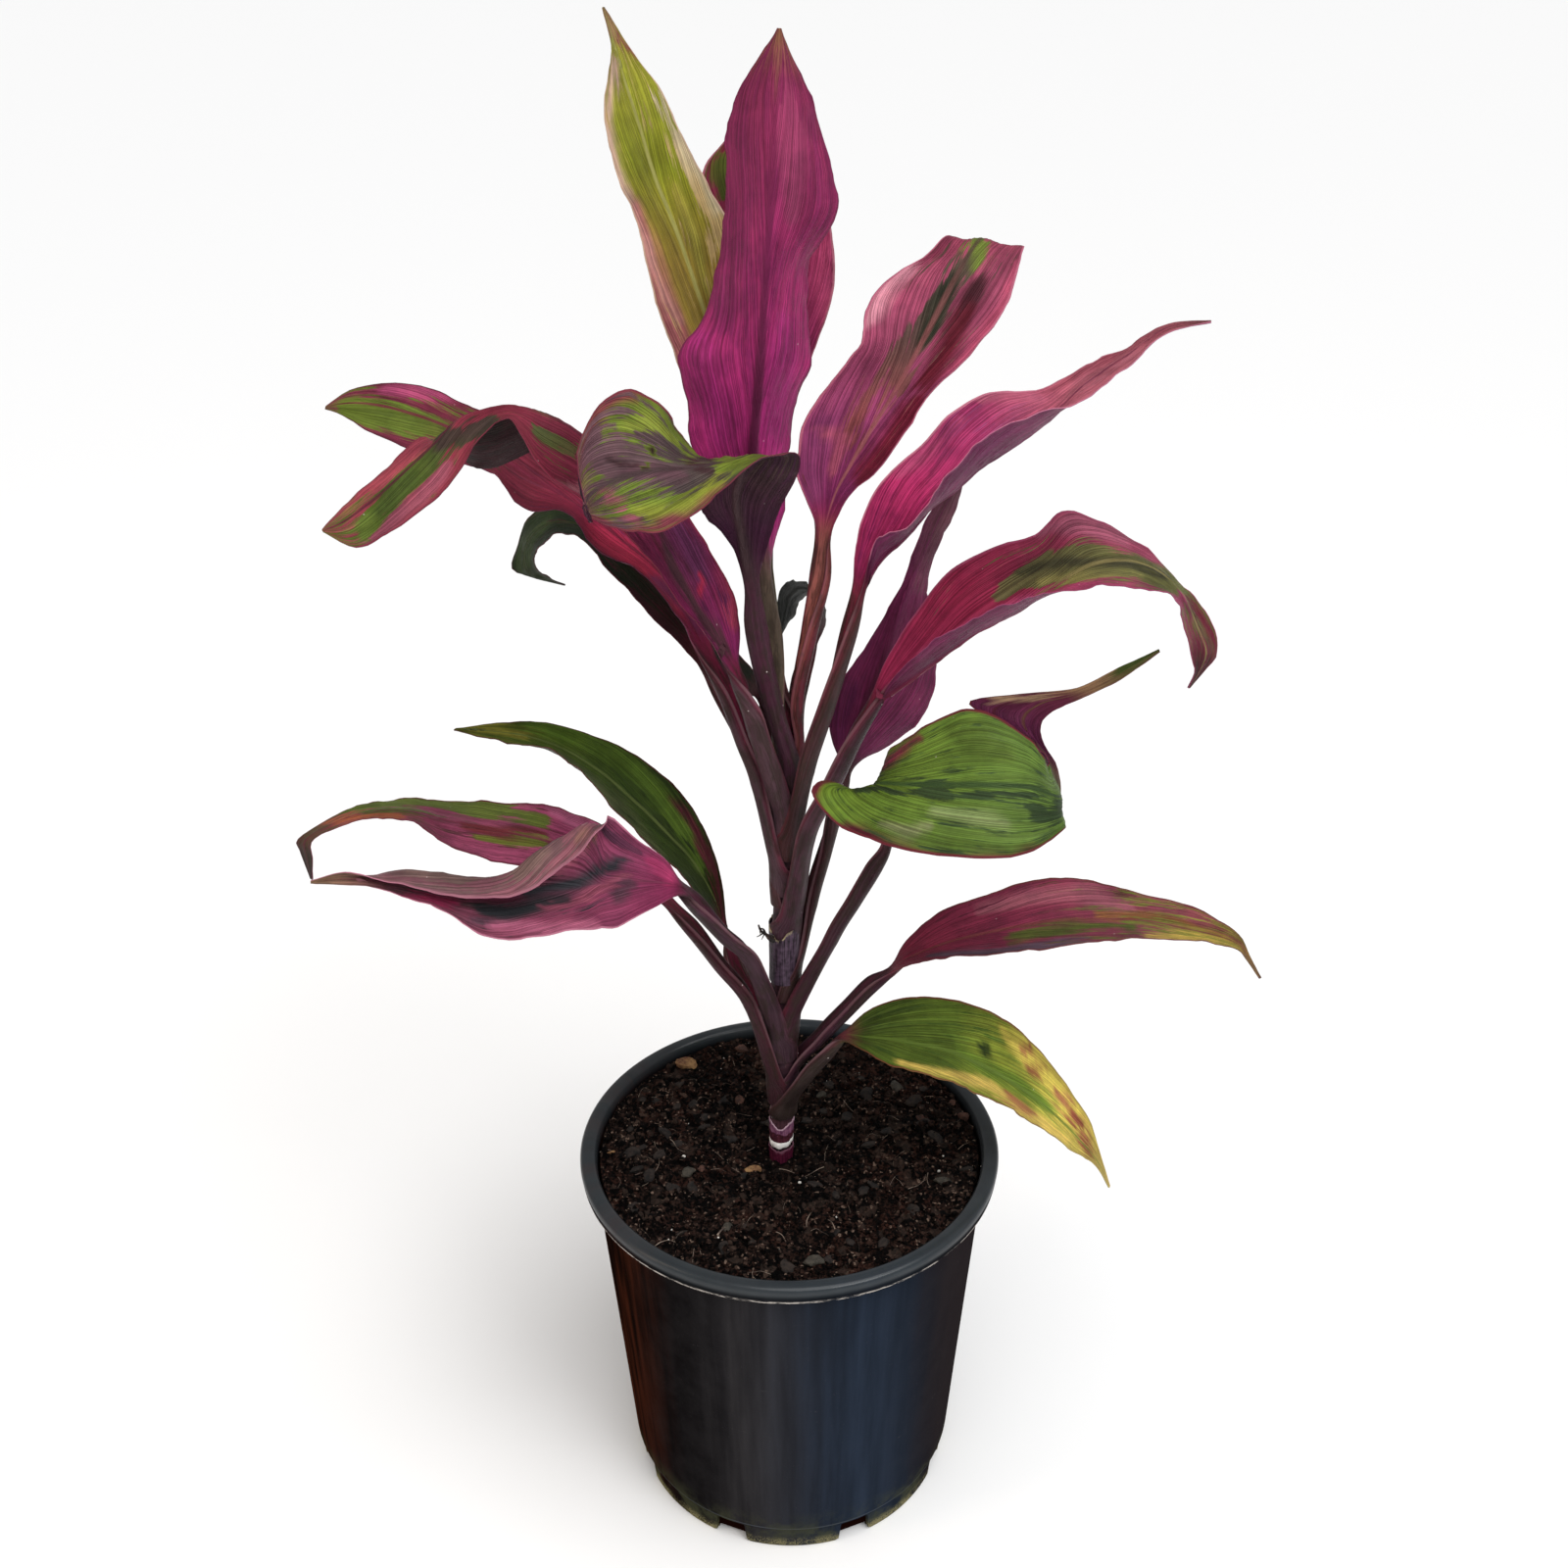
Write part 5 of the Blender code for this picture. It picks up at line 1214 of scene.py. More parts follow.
# %% Right arched leaf
add_leaf(
    "leaf_right_arched", "leaf_pink", -42.0, 314.0, [(822, 856, -14), (846, 806, -17), (870, 755, -20)], [
        (888, 712, -18, 893, 716, -22, 899, 708, -25), (905, 672, -16, 912, 702, -24, 918, 684, -32),
        (928, 635, -10, 945, 678, -26, 948, 658, -40), (965, 586, -8, 990, 646, -25, 992, 632, -42),
        (1012, 559, -6, 1035, 622, -24, 1035, 614, -44), (1055, 546, -4, 1075, 598, -24, 1075, 605, -44),
        (1085, 522, 0, 1115, 576, -22, 1115, 599, -44), (1130, 535, 0, 1152, 572, -22, 1150, 599, -42),
        (1170, 561, -2, 1185, 585, -20, 1183, 604, -38), (1207, 597, -6, 1208, 608, -22, 1203, 614, -36),
        (1232, 628, -12, 1222, 640, -24, 1207, 640, -34), (1244, 662, -16, 1230, 664, -24, 1215, 665, -31),
        (1230, 683, -21, 1224, 684, -24, 1219, 684, -27),
    ], (1213, 702, -24), wide=4.8, root=4.0, under=((104, 40, 84), 0.75), ripple=0.8,
    ground={0.0: (156, 22, 76), 0.25: (138, 18, 62), 0.45: (140, 38, 72), 0.7: (150, 66, 94),
        0.85: (104, 26, 48), 1.0: MAROON},
    streak={0.0: MAGENTA, 0.3: (96, 92, 56), 0.75: (108, 112, 52), 0.9: (56, 36, 34), 1.0: (84, 60, 40)},
    share={0.0: 0.15, 0.3: 0.3, 0.75: 0.45, 1.0: 0.4},
    rib={0.0: (130, 22, 60), 0.3: (132, 40, 64), 0.42: (132, 120, 72)}, margin=(158, 60, 96),
    skin=((74, 44, 56), (130, 22, 60)),
    strokes=(
        ("share", (1.2, 13, (1020, 606), (1054, 584), (1084, 571), (1120, 568), (1160, 576), (1206, 598)),
         (1.0, 9, (1050, 598), (1090, 587), (1150, 585)), (0.0, 14, (930, 660), (970, 620), (1006, 592)),
         (0.05, 12, (1000, 566), (1050, 545), (1100, 530), (1150, 545), (1180, 562))),
        ("streak", ((128, 124, 66), 7, (1060, 596), (1110, 590), (1160, 588)),
         ((70, 70, 44), 7, (1040, 584), (1090, 572), (1150, 574), (1190, 588))),
        ("ground", ((152, 74, 98), 12, (1060, 544), (1100, 530), (1150, 550)),
         ((162, 50, 94), 7, (940, 668), (980, 644), (1040, 618), (1100, 600), (1160, 600), (1206, 612))),
        ("share", (0.05, 7, (940, 668), (980, 646), (1040, 622), (1100, 603), (1160, 603), (1206, 612))),
        ("ground", ((110, 22, 46), 14, (1215, 610), (1236, 640), (1240, 668))),
    ),
)

# %% Right behind leaf
add_leaf(
    "leaf_right_behind", "leaf_magenta", 18.0, 284.0, [(826, 920, 6), (840, 870, 9), (852, 825, 12)], [
        (858, 788, 15, 863, 785, 16, 869, 783, 17), (846, 742, 20, 872, 750, 17, 912, 758, 26),
        (856, 700, 24, 888, 708, 19, 948, 720, 32), (882, 662, 28, 903, 668, 25, 955, 672, 38),
        (902, 628, 32, 916, 630, 31, 948, 625, 42), (922, 592, 36, 928, 595, 37, 947, 595, 44),
        (933, 560, 38, 942, 562, 41, 957, 556, 46), (948, 525, 42, 958, 528, 44, 975, 522, 48),
    ], (985, 475, 46), wide=3.8, root=3.6, face=-1, under=((118, 34, 84), 0.7), ripple=1.0,
    ground={0.0: (150, 28, 88), 0.5: (140, 26, 80), 0.7: (104, 28, 66), 1.0: GREY_GREEN},
    streak={0.0: (96, 20, 62), 0.6: MAROON, 1.0: (92, 96, 60)}, share={0.0: 0.5, 1.0: 0.5}, rib=(70, 16, 40),
    margin=(150, 44, 84), skin=(STALK_BROWN, MAROON),
    strokes=(
        ("ground", ((100, 102, 70), 16, (975, 500), (955, 550), (938, 600))),
        ("streak", ((116, 116, 84), 13, (975, 500), (955, 550))),
        ("ground", ((96, 34, 88), 14, (850, 760), (862, 720), (870, 700))),
    ),
)

# %% Right green leaf
add_leaf(
    "leaf_right_green", "leaf_green", -38.0, 258.0, [(847, 958, -12), (871, 918, -14), (891, 885, -16)], [
        (900, 857, -19, 905, 856, -18, 910, 857, -17), (878, 822, -26, 902, 829, -24, 914, 815, -20),
        (849, 796, -36, 897, 812, -31, 909, 794, -24), (828, 806, -46, 890, 801, -38, 904, 772, -26),
        (844, 832, -56, 905, 799, -45, 918, 757, -30), (873, 851, -66, 928, 800, -53, 944, 742, -35),
        (919, 866, -77, 966, 801, -62, 985, 723, -40), (988, 876, -84, 1010, 801, -68, 1022, 734, -44),
        (1048, 871, -84, 1050, 803, -68, 1054, 758, -48), (1087, 845, -73, 1081, 813, -62, 1069, 782, -48),
        (1080, 838, -48, 1078, 800, -44, 1064, 768, -40), (1082, 792, -32, 1064, 768, -29, 1034, 742, -25),
        (1062, 750, -23, 1044, 737, -20, 988, 717, -14), (1070, 729, -20, 1060, 719, -17, 1040, 708, -13),
        (1101, 714, -20, 1099, 708, -18, 1098, 702, -16), (1143, 694, -22, 1141, 688, -20, 1140, 682, -18),
    ], (1183, 664, -22), wide=3.4, root=3.2, face=-1, under=((104, 34, 76), 0.85), ripple=1.0,
    ground={0.0: OLIVE, 0.12: (96, 124, 24), 0.5: (92, 122, 44), 0.62: (88, 118, 40), 0.72: (100, 30, 74),
        0.86: (112, 44, 70), 0.9: TAN, 1.0: (88, 104, 50)},
    streak={0.0: MAROON, 0.15: (48, 64, 34), 0.6: (52, 72, 40), 0.72: MAROON, 0.88: (110, 40, 70), 1.0: TAN},
    share={0.0: 0.5, 0.15: 0.35, 0.35: 0.3, 0.7: 0.35, 1.0: 0.3},
    rib={0.0: (60, 84, 40), 0.6: (44, 62, 36), 0.7: MAROON, 1.0: TAN}, margin=(104, 30, 40),
    skin=((62, 32, 42), (120, 18, 48)),
    strokes=(
        ("share", (0.75, 4, (868, 808), (900, 806), (946, 806), (1000, 810), (1060, 812)),
         (0.60, 7, (920, 796), (950, 796), (970, 800))),
        ("both", ((132, 142, 92), 8, (896, 846), (920, 850), (944, 846))),
        ("share", (0.60, 5, (940, 862), (966, 866), (1000, 862)),
         (0.7, 9, (1050, 826), (1076, 834), (1086, 820)), (0.05, 14, (960, 752), (1010, 764), (1050, 786))),
        ("ground", ((122, 142, 84), 11, (950, 828), (990, 836), (1030, 840)),
         ((84, 108, 34), 16, (970, 746), (1004, 756), (1030, 770))),
        ("streak", ((70, 92, 52), 10, (980, 770), (1030, 786))),
        ("ground", ((104, 28, 44), 7, (852, 796), (834, 798), (830, 812), (840, 828))),
        ("share", (0.1, 8, (840, 798), (832, 812), (846, 830))),
        ("ground", ((96, 30, 44), 5, (860, 842), (900, 862), (960, 874), (1030, 874), (1080, 856)),
         ((120, 28, 56), 7, (884, 788), (912, 770), (936, 752))),
        ("both", ((198, 166, 126), 4, (1012, 712), (1050, 712), (1084, 706)),
         ((84, 104, 44), 7, (1124, 692), (1150, 680), (1172, 668)),
         ((184, 146, 104), 4, (1080, 708), (1110, 700), (1136, 686))),
    ),
)

# %% Right low leaf
add_leaf(
    "leaf_right_low", "leaf_pink", 4.0, 226.0, [(838, 1056, -4), (865, 1028, -9), (888, 1005, -13)], [
        (904, 996, -16, 907, 991, -14, 909, 986, -12), (925, 986, -24, 926, 977, -17, 925, 960, -8),
        (960, 978, -34, 965, 962, -19, 958, 931, -4), (1010, 974, -42, 1015, 950, -20, 1010, 912, 2),
        (1060, 969, -46, 1065, 941, -21, 1060, 897, 4), (1110, 962, -46, 1115, 938, -22, 1110, 898, 2),
        (1160, 958, -44, 1163, 939, -22, 1160, 911, -2), (1205, 959, -40, 1207, 947, -24, 1207, 922, -8),
        (1240, 963, -34, 1242, 955, -25, 1243, 938, -15), (1262, 969, -28, 1264, 964, -25, 1266, 956, -21),
        (1271, 978, -26, 1273, 976, -25, 1275, 975, -24),
    ], (1286, 998, -24), wide=4.0, root=3.8, face=-1, under=((96, 68, 84), 0.7), ripple=0.5,
    ground={0.0: (134, 26, 58), 0.3: (130, 34, 68), 0.6: (136, 60, 78), 0.8: (140, 76, 62), 0.92: OCHRE,
        1.0: BROWN},
    streak={0.0: MAROON, 0.35: (98, 30, 56), 0.45: (96, 116, 38), 0.75: (150, 146, 50), 1.0: BROWN},
    share={0.0: 0.25, 0.5: 0.35, 1.0: 0.45}, rib=(120, 56, 56), margin=(112, 50, 50),
    skin=((60, 34, 48), (84, 28, 48)),
    strokes=(
        ("ground", ((156, 82, 98), 13, (1000, 926), (1050, 916), (1104, 912), (1150, 926))),
        ("share", (0.05, 9, (950, 950), (1010, 932), (1090, 915))),
        ("both", ((84, 96, 34), 6, (1030, 957), (1070, 950), (1120, 945), (1160, 948))),
        ("share", (0.6, 6, (1150, 940), (1200, 946), (1240, 956))),
        ("ground", ((150, 96, 48), 6, (1120, 933), (1160, 936), (1210, 944), (1250, 956)),
         ((198, 172, 66), 8, (1170, 955), (1210, 955), (1250, 962), (1264, 968))),
        ("share", (0.05, 5, (1190, 957), (1240, 962))),
        ("ground", ((96, 76, 92), 6, (950, 975), (1000, 972), (1060, 966), (1110, 960)),
         ((92, 60, 40), 4, (1140, 911), (1156, 913))),
        ("dry", (0.95, 4, (1270, 975), (1286, 998))),
    ),
)

# %% Right lowest leaf
add_leaf(
    "leaf_right_lowest", "leaf_green", -48.0, 208.0, [(822, 1098, -10), (843, 1074, -12)], [
        (857, 1062, -16, 860, 1057, -14, 862, 1052, -12), (882, 1073, -22, 885, 1058, -14, 884, 1032, -6),
        (915, 1089, -32, 920, 1062, -14, 918, 1019, 2), (955, 1099, -38, 965, 1072, -16, 960, 1018, 6),
        (998, 1116, -40, 1008, 1090, -18, 1008, 1031, 6), (1038, 1136, -40, 1047, 1114, -20, 1048, 1058, 2),
        (1072, 1158, -37, 1079, 1140, -22, 1083, 1100, -6),
        (1100, 1178, -32, 1104, 1166, -24, 1110, 1140, -14),
        (1118, 1190, -28, 1120, 1186, -25, 1122, 1175, -21),
    ], (1132, 1211, -24), wide=3.6, root=3.6, face=-1, under=(OLIVE, 0.5), drop=1.5,
    ground={0.0: (120, 60, 60), 0.1: (72, 92, 26), 0.36: (104, 132, 34), 0.5: (150, 164, 44),
        0.66: (214, 200, 76), 1.0: (226, 198, 96)},
    streak={0.0: MAROON, 0.15: (60, 82, 24), 0.45: (92, 122, 34), 0.6: (150, 166, 54), 0.8: (200, 190, 80),
        1.0: OCHRE},
    share={0.0: 0.4, 0.3: 0.35, 1.0: 0.35}, rib=(104, 128, 44),
    margin={0.0: (120, 24, 40), 0.5: (130, 84, 50), 1.0: (220, 200, 130)},
    skin=((66, 54, 50), (112, 40, 52)),
    strokes=(
        ("ground", ((236, 208, 92), 8, (918, 1084), (965, 1095), (1010, 1110), (1050, 1136), (1090, 1166))),
        ("share", (0.02, 8, (925, 1086), (970, 1097), (1012, 1112), (1060, 1142), (1100, 1174))),
        ("ground", ((226, 208, 80), 13, (1026, 1054), (1052, 1076), (1078, 1108), (1100, 1150))),
        ("share", (0.02, 10, (1026, 1054), (1052, 1076), (1078, 1108))),
        ("ground", ((110, 142, 36), 9, (980, 1074), (1030, 1098), (1060, 1120), (1074, 1132))),
        ("share", (0.3, 7, (990, 1078), (1050, 1112))),
        ("ground", ((158, 98, 56), 9, (1052, 1086), (1062, 1096)),
         ((150, 92, 52), 4, (1047, 1062), (1051, 1065)), ((156, 98, 54), 4, (1028, 1114), (1033, 1118)),
         ((176, 112, 72), 8, (1080, 1114), (1092, 1128)), ((156, 84, 56), 7, (1092, 1134), (1104, 1150)),
         ((190, 124, 74), 7, (1026, 1116), (1040, 1126), (1056, 1138)),
         ((164, 92, 60), 6, (1104, 1158), (1114, 1178)), ((190, 130, 72), 5, (1040, 1066), (1050, 1072))),
        ("streak", ((190, 130, 76), 12, (1060, 1080), (1092, 1124), (1110, 1166))),
        ("ground", ((44, 62, 22), 5, (1002, 1068), (1010, 1071))),
    ),
)

# %% [markdown]
# ## The cane
#
# A ti cane is a slim upright stem that keeps a ring where each old leaf came off. A turned body
# with a small step for every ring gives that; it could also be a curve with a bevel, but the
# steps would be lost. One circle is extruded ring by ring here, and the pot is made the same way.

# %% Turned bodies
def turn_rings(name, profile, sides):
    """One circle, extruded along a profile of radius and height, then closed at both ends."""
    radius, height = profile[0]
    select_nothing()
    bpy.ops.mesh.primitive_circle_add(vertices=sides, radius=radius * MM, location=(0.0, 0.0, height * MM))
    piece = named(name)
    bpy.ops.object.mode_set(mode="EDIT")
    bpy.ops.mesh.select_mode(type="EDGE")
    bpy.ops.mesh.select_all(action="SELECT")
    for next_radius, next_height in profile[1:]:
        bpy.ops.mesh.extrude_edges_indiv()
        bpy.ops.transform.translate(value=(0.0, 0.0, (next_height - height) * MM))
        ratio = next_radius / radius
        bpy.ops.transform.resize(value=(ratio, ratio, 1.0), center_override=(0.0, 0.0, 0.0))
        radius, height = next_radius, next_height
    bpy.ops.mesh.select_all(action="SELECT")
    bpy.ops.mesh.fill_holes(sides=0)
    bpy.ops.mesh.normals_make_consistent(inside=False)
    bpy.ops.object.mode_set(mode="OBJECT")
    settle(piece)
    return piece


STEM_BOTTOM = 155.5
STEM_SIDES = 72
FIRST_SCAR = 401.0
SCAR_STEP = 11.0         # from one old leaf's ring to the next
stem_profile = [(0.6, 407.0), (1.8, 406.5), (2.9, 404.8)]
height = FIRST_SCAR
while height > SOIL_LEVEL - 6.0:
    radius = stem_radius(height) - 0.5 * float(ease(200.0 - height, -30.0, 0.0))
    stem_profile += [
        (radius - inwards, height + rise) for inwards, rise in
        ((0.25, 0.6), (0.0, 0.0), (0.15, -0.9), (0.45, -1.5), (0.3, -4.5), (0.2, -8.0))
    ]
    height -= SCAR_STEP
stem_profile += [(stem_radius(150.0) - 0.3, STEM_BOTTOM + 0.5), (stem_radius(150.0) - 0.8, STEM_BOTTOM)]
stem = turn_rings("cane", stem_profile, STEM_SIDES)
places = np.array([vertex.co for vertex in stem.data.vertices])
turns = np.arctan2(places[:, 1], places[:, 0])
tilt = 0.0011 * np.sin(turns + places[:, 2] * 90.0) + 0.0004 * np.sin(3.0 * turns + places[:, 2] * 260.0)
fade = ease(places[:, 2], 0.163, 0.180) * (1.0 - ease(places[:, 2], 0.385, 0.400))
places[:, 2] += tilt * fade
stem.data.vertices.foreach_set("co", places.ravel())
select_only(stem)
stem.location = (STEM_FOOT_X * MM, 0.0, 0.0)
settle(stem)
bpy.ops.object.mode_set(mode="EDIT")
bpy.ops.mesh.select_all(action="SELECT")
bpy.ops.transform.rotate(
    value=-STEM_LEAN, orient_axis="Y", center_override=(STEM_FOOT_X * MM, 0.0, SOIL_LEVEL * MM),
)
bpy.ops.object.mode_set(mode="OBJECT")
smooth(stem, 50)
top = max((vertex.co for vertex in stem.data.vertices), key=lambda co: co.z)
print("cane top:", [round(value * 1000, 1) for value in top], "mm,", triangles(stem), "triangles")

# %% [markdown]
# The bark is dull purple brown, darker just under each ring, with pale flecks and fine upright
# lines where it has stretched. A noise that is squeezed round the cane and long along it gives
# the lines, and a wave along the height gives the bands.

# %% Cane material
def cane_look():
    look = Look("cane_bark")
    place = look.place()
    x, y, z = look.parts(place)
    lines = look.stretched(x * 900.0, y * 900.0, z * 90.0, 3.0, 0.6)
    patches = look.noise(place, 140.0, 4.0, 0.6)
    bands = look.maths("SINE", z * 571.0 + patches * 4.0) * 0.5 + 0.5
    look.colour = look.mix(look.ramp(patches, 0.35, 0.65), paint(58, 34, 44), paint(92, 58, 66))
    look.lay(look.ramp(bands, 0.55, 1.0) * 0.7, paint(34, 18, 26))
    look.lay(look.ramp(lines, 0.62, 0.75) * 0.5, paint(136, 104, 98))
    look.bump(lines * 0.6 + patches * 0.8, 0.0005, 0.7)
    return look.finish(Base_Color=look.colour, Roughness=0.5 + lines * 0.25, Specular_IOR_Level=0.20)


dress(stem, cane_look(), "stem_bark", "stem")

# %% [markdown]
# ## Collars and scraps on the cane
#
# Just above the soil the cane still wears the stubs of its first leaves: short purple collars
# that overlap like the tubes of a telescope, each with a pale torn rim, and one bare white ring
# between them. Further up an old sheath has torn off to a cup, with dry black scraps at its
# edge. A collar is a grid that is wrapped round the cane and given thickness; its UV map tells
# the shader where the rim is.

# %% Cane collars
COLLAR_SIDES = 72
COLLAR_RINGS = 14


def add_collar(name, low, high, inner, flare, dip, front, jag, seed, squeeze=1.0):
    """A torn sheath stub round the cane, whose rim dips at its front."""
    select_nothing()
    bpy.ops.mesh.primitive_grid_add(x_subdivisions=COLLAR_SIDES, y_subdivisions=COLLAR_RINGS, size=1.0)
    piece = named(name)
    points = []
    for vertex in piece.data.vertices:
        around, rise = vertex.co.x * 2.0 * math.pi, vertex.co.y + 0.5
        angle = math.radians(front) + around
        torn = jag * noise.fractal(Vector((math.cos(angle) * 3.0, math.sin(angle) * 3.0, seed)), 1.0, 2.0, 4)
        rim = high - dip * math.exp(-(around / 0.55) ** 2) + torn
        tall = low + (rim - low) * rise
        crease = 0.12 * math.sin(around * 23.0 + rise * 5.0 + seed)
        crease += 0.10 * math.sin(around * 11.0 - rise * 9.0)
        reach = inner + flare * rise ** 2 + crease * rise
        centre = stem_centre(tall)
        points += [centre.x + squeeze * reach * math.cos(angle), reach * math.sin(angle), tall]
    piece.data.vertices.foreach_set("co", [value * MM for value in points])
    mend(piece)
    apply_modifier(piece, "SOLIDIFY", thickness=0.5 * MM, offset=-1.0)
    smooth(piece, 60)
    return piece


def skin_look(name, deep, light, rim_colour, rim_start):
    """Purple sheath skin with fine upright lines, which pales to its torn rim."""
    look = Look(name)
    place = look.place()
    x, y, z = look.parts(place)
    rise = look.parts(look.node("ShaderNodeUVMap", {"uv_map": "UVMap"}))[1]
    lines = look.stretched(x * 1400.0, y * 1400.0, z * 70.0, 3.0, 0.6)
    worn = look.noise(place, 420.0, 3.0, 0.6)
    look.colour = look.mix(look.ramp(lines * 0.6 + worn * 0.4, 0.36, 0.64), deep, light)
    look.lay(look.ramp(rise + (worn - 0.5) * 0.3, rim_start, rim_start + 0.10), rim_colour)
    look.bump(lines * 0.7 + worn, 0.0005, 0.7)
    return look.finish(Base_Color=look.colour, Roughness=0.36 + worn * 0.25, Specular_IOR_Level=0.20)


collar_kinds = (
    ("collar_low", "collar_skin_low", (174.0, 187.4, 5.15, 0.35, 0.8, -100.0, 0.8, 1.0),
     (62, 14, 36), (94, 28, 54), (124, 78, 96), 0.90),
    ("collar_brown", "collar_skin_brown", (192.0, 197.6, 5.15, 0.35, 1.2, -70.0, 0.9, 4.0),
     (58, 26, 34), (96, 44, 58), (74, 34, 52), 0.90),
    ("collar_violet", "collar_skin_violet", (195.0, 203.4, 5.2, 0.4, 3.4, -98.0, 0.8, 7.0),
     (98, 50, 84), (166, 112, 140), (206, 170, 186), 0.86),
    ("collar_high", "collar_skin_high", (199.0, 208.6, 5.35, 0.4, 0.7, -60.0, 0.5, 9.0),
     (52, 30, 36), (84, 54, 62), (172, 140, 140), 0.94),
    ("torn_cup", "cup_skin", (284.0, 313.5, 7.3, 0.6, 5.6, -118.0, 1.2, 12.0, 0.87),
     (22, 10, 20), (104, 82, 102), (214, 196, 150), 0.955),
)
for name, skin_name, sizes, deep, light, rim_colour, rim_start in collar_kinds:
    collar = add_collar(name, *sizes)
    skin = skin_look(skin_name, paint(*deep), paint(*light), paint(*rim_colour), rim_start)
    dress(collar, skin, "stem_bark")
    print(f"{collar.name}: {triangles(collar)} triangles")

# %% White ring
RING_HEIGHT = 191.6
RING_SIDES = 64
ring_profile = [(4.9, -2.0), (5.4, -1.9), (5.75, -1.2), (5.8, 0.4), (5.6, 1.5), (4.9, 1.9)]
white_ring = turn_rings("white_ring", [(r, h + RING_HEIGHT) for r, h in ring_profile], RING_SIDES)
select_only(white_ring)
white_ring.location = (stem_centre(RING_HEIGHT).x * MM, 0.0, 0.0)
settle(white_ring)
for vertex in white_ring.data.vertices:
    angle = math.atan2(vertex.co.y, vertex.co.x - stem_centre(RING_HEIGHT).x * MM)
    smile = 1.3 * math.sin(angle) + 0.9 * math.cos(angle) + 0.3 * math.sin(angle * 8.0)
    vertex.co.z += smile * MM
smooth(white_ring, 50)


def grainy_look(name, scale, first, second, rough, band=None, bump=None):
    """A matt surface of two colours that change with one noise, sharpened between the band's limits."""
    look = Look(name)
    grain = look.noise(look.place(), scale, 3.0, 0.6)
    share = look.ramp(grain, *band) if band else grain
    if bump:
        look.bump(grain, *bump)
    return look.finish(Base_Color=look.mix(share, first, second), Roughness=rough)


ring_look = grainy_look(
    "bare_ring", 700.0, (0.93, 0.91, 0.88), paint(170, 136, 142), 0.6, band=(0.60, 0.70), bump=(0.0004, 0.6),
)
dress(white_ring, ring_look, "stem_bark")


# %% Threads and scraps
def add_thread(points, radius, taper=0.35):
    """A thin round thread through points in millimetres, as a mesh."""
    select_nothing()
    bpy.ops.curve.primitive_nurbs_path_add()
    thread = bpy.context.object
    thread.data.splines.clear()
    spline = thread.data.splines.new("NURBS")
    spline.points.add(len(points) - 1)
    for index, point in enumerate(points):
        spline.points[index].co = (point[0] * MM, point[1] * MM, point[2] * MM, 1.0)
        spline.points[index].radius = 1.0 - (1.0 - taper) * index / (len(points) - 1)
    spline.use_endpoint_u = True
    spline.order_u = 3
    spline.resolution_u = 3
    thread.data.bevel_depth = radius * MM
    thread.data.bevel_resolution = 1
    thread.data.use_fill_caps = True
    bpy.ops.object.convert(target="MESH")
    return bpy.context.object


scrap_paths = (
    (0.95, 0.45, (789, 957, -6.0), (785, 956, -7.0), (781, 953, -7.5), (777, 951, -8.0), (775, 947, -8.0),
     (774, 944, -8.5)),
    (0.6, 0.35, (781, 953, -7.5), (780, 949, -8.0), (777, 947, -8.5), (775, 950, -9.0), (776, 953, -9.0)),
    (0.4, 0.35, (779, 952, -8.0), (775, 955, -8.0), (772, 956, -8.0)),
    (0.35, 0.35, (780, 953, -8.0), (778, 957, -8.0), (777, 959, -8.0)),
    (1.1, 0.7, (790, 960, -7.5), (787, 959, -8.0), (784, 957, -8.0), (782, 954, -8.0)),
)
scraps = join("dry_scraps", [
    add_thread([sight(*spot) for spot in path], radius, taper) for radius, taper, *path in scrap_paths
], 60)
scrap_look = grainy_look(
    "dry_scrap", 600.0, paint(16, 11, 10), paint(70, 50, 42), 0.8, band=(0.4, 0.7), bump=(0.0005, 0.8),
)
dress(scraps, scrap_look, "stem_bark")

# %% [markdown]
# ## Potting mix
#
# The mix is dark composted bark, broken into angular crumbs with deep gaps between them, and it
# lies in a shallow dish: lowest at the cane, highest against the pot's back wall. Real crumbs
# cast small shadows, so the top is modelled: a grid is wrapped into rings round the cane and
# lifted crumb by crumb. Bump alone would look flat from the side of the pot.

# %% Soil body
SOIL_RISE = 4.0
SOIL_TILT = 1.0
DISH_START = 9.0
DISH_END = 45.0
POT_RADIUS = 93.9
SOIL_EDGE = 91.4
SOIL_SIDES = 520
SOIL_RINGS = 132


def dish(x, y):
    """Mean height of the soil at a place, in millimetres."""
    rise = float(ease(math.hypot(x, y), DISH_START, DISH_END))
    return SOIL_LEVEL + (SOIL_RISE + SOIL_TILT * y / POT_RADIUS) * rise


def crumb_relief(x, y, size, offset):
    """Height of one layer of angular crumbs, about one size across."""
    distances, centres = noise.voronoi(Vector((x / size, y / size, offset)))
    own = noise.cell(centres[0] * 7.3)
    gap = float(ease(distances[1] - distances[0], 0.0, 0.30))
    return size * (0.30 * own * gap + 0.16 * (gap - 1.0))


def soil_height(x, y):
    """Height of the crumbs at a place, in millimetres."""
    lumps = noise.fractal(Vector((x * 0.035, y * 0.035, 3.0)), 1.0, 2.0, 3)
    return dish(x, y) + 1.2 * lumps + crumb_relief(x, y, 4.6, 1.0) + crumb_relief(x, y, 2.1, 9.0)


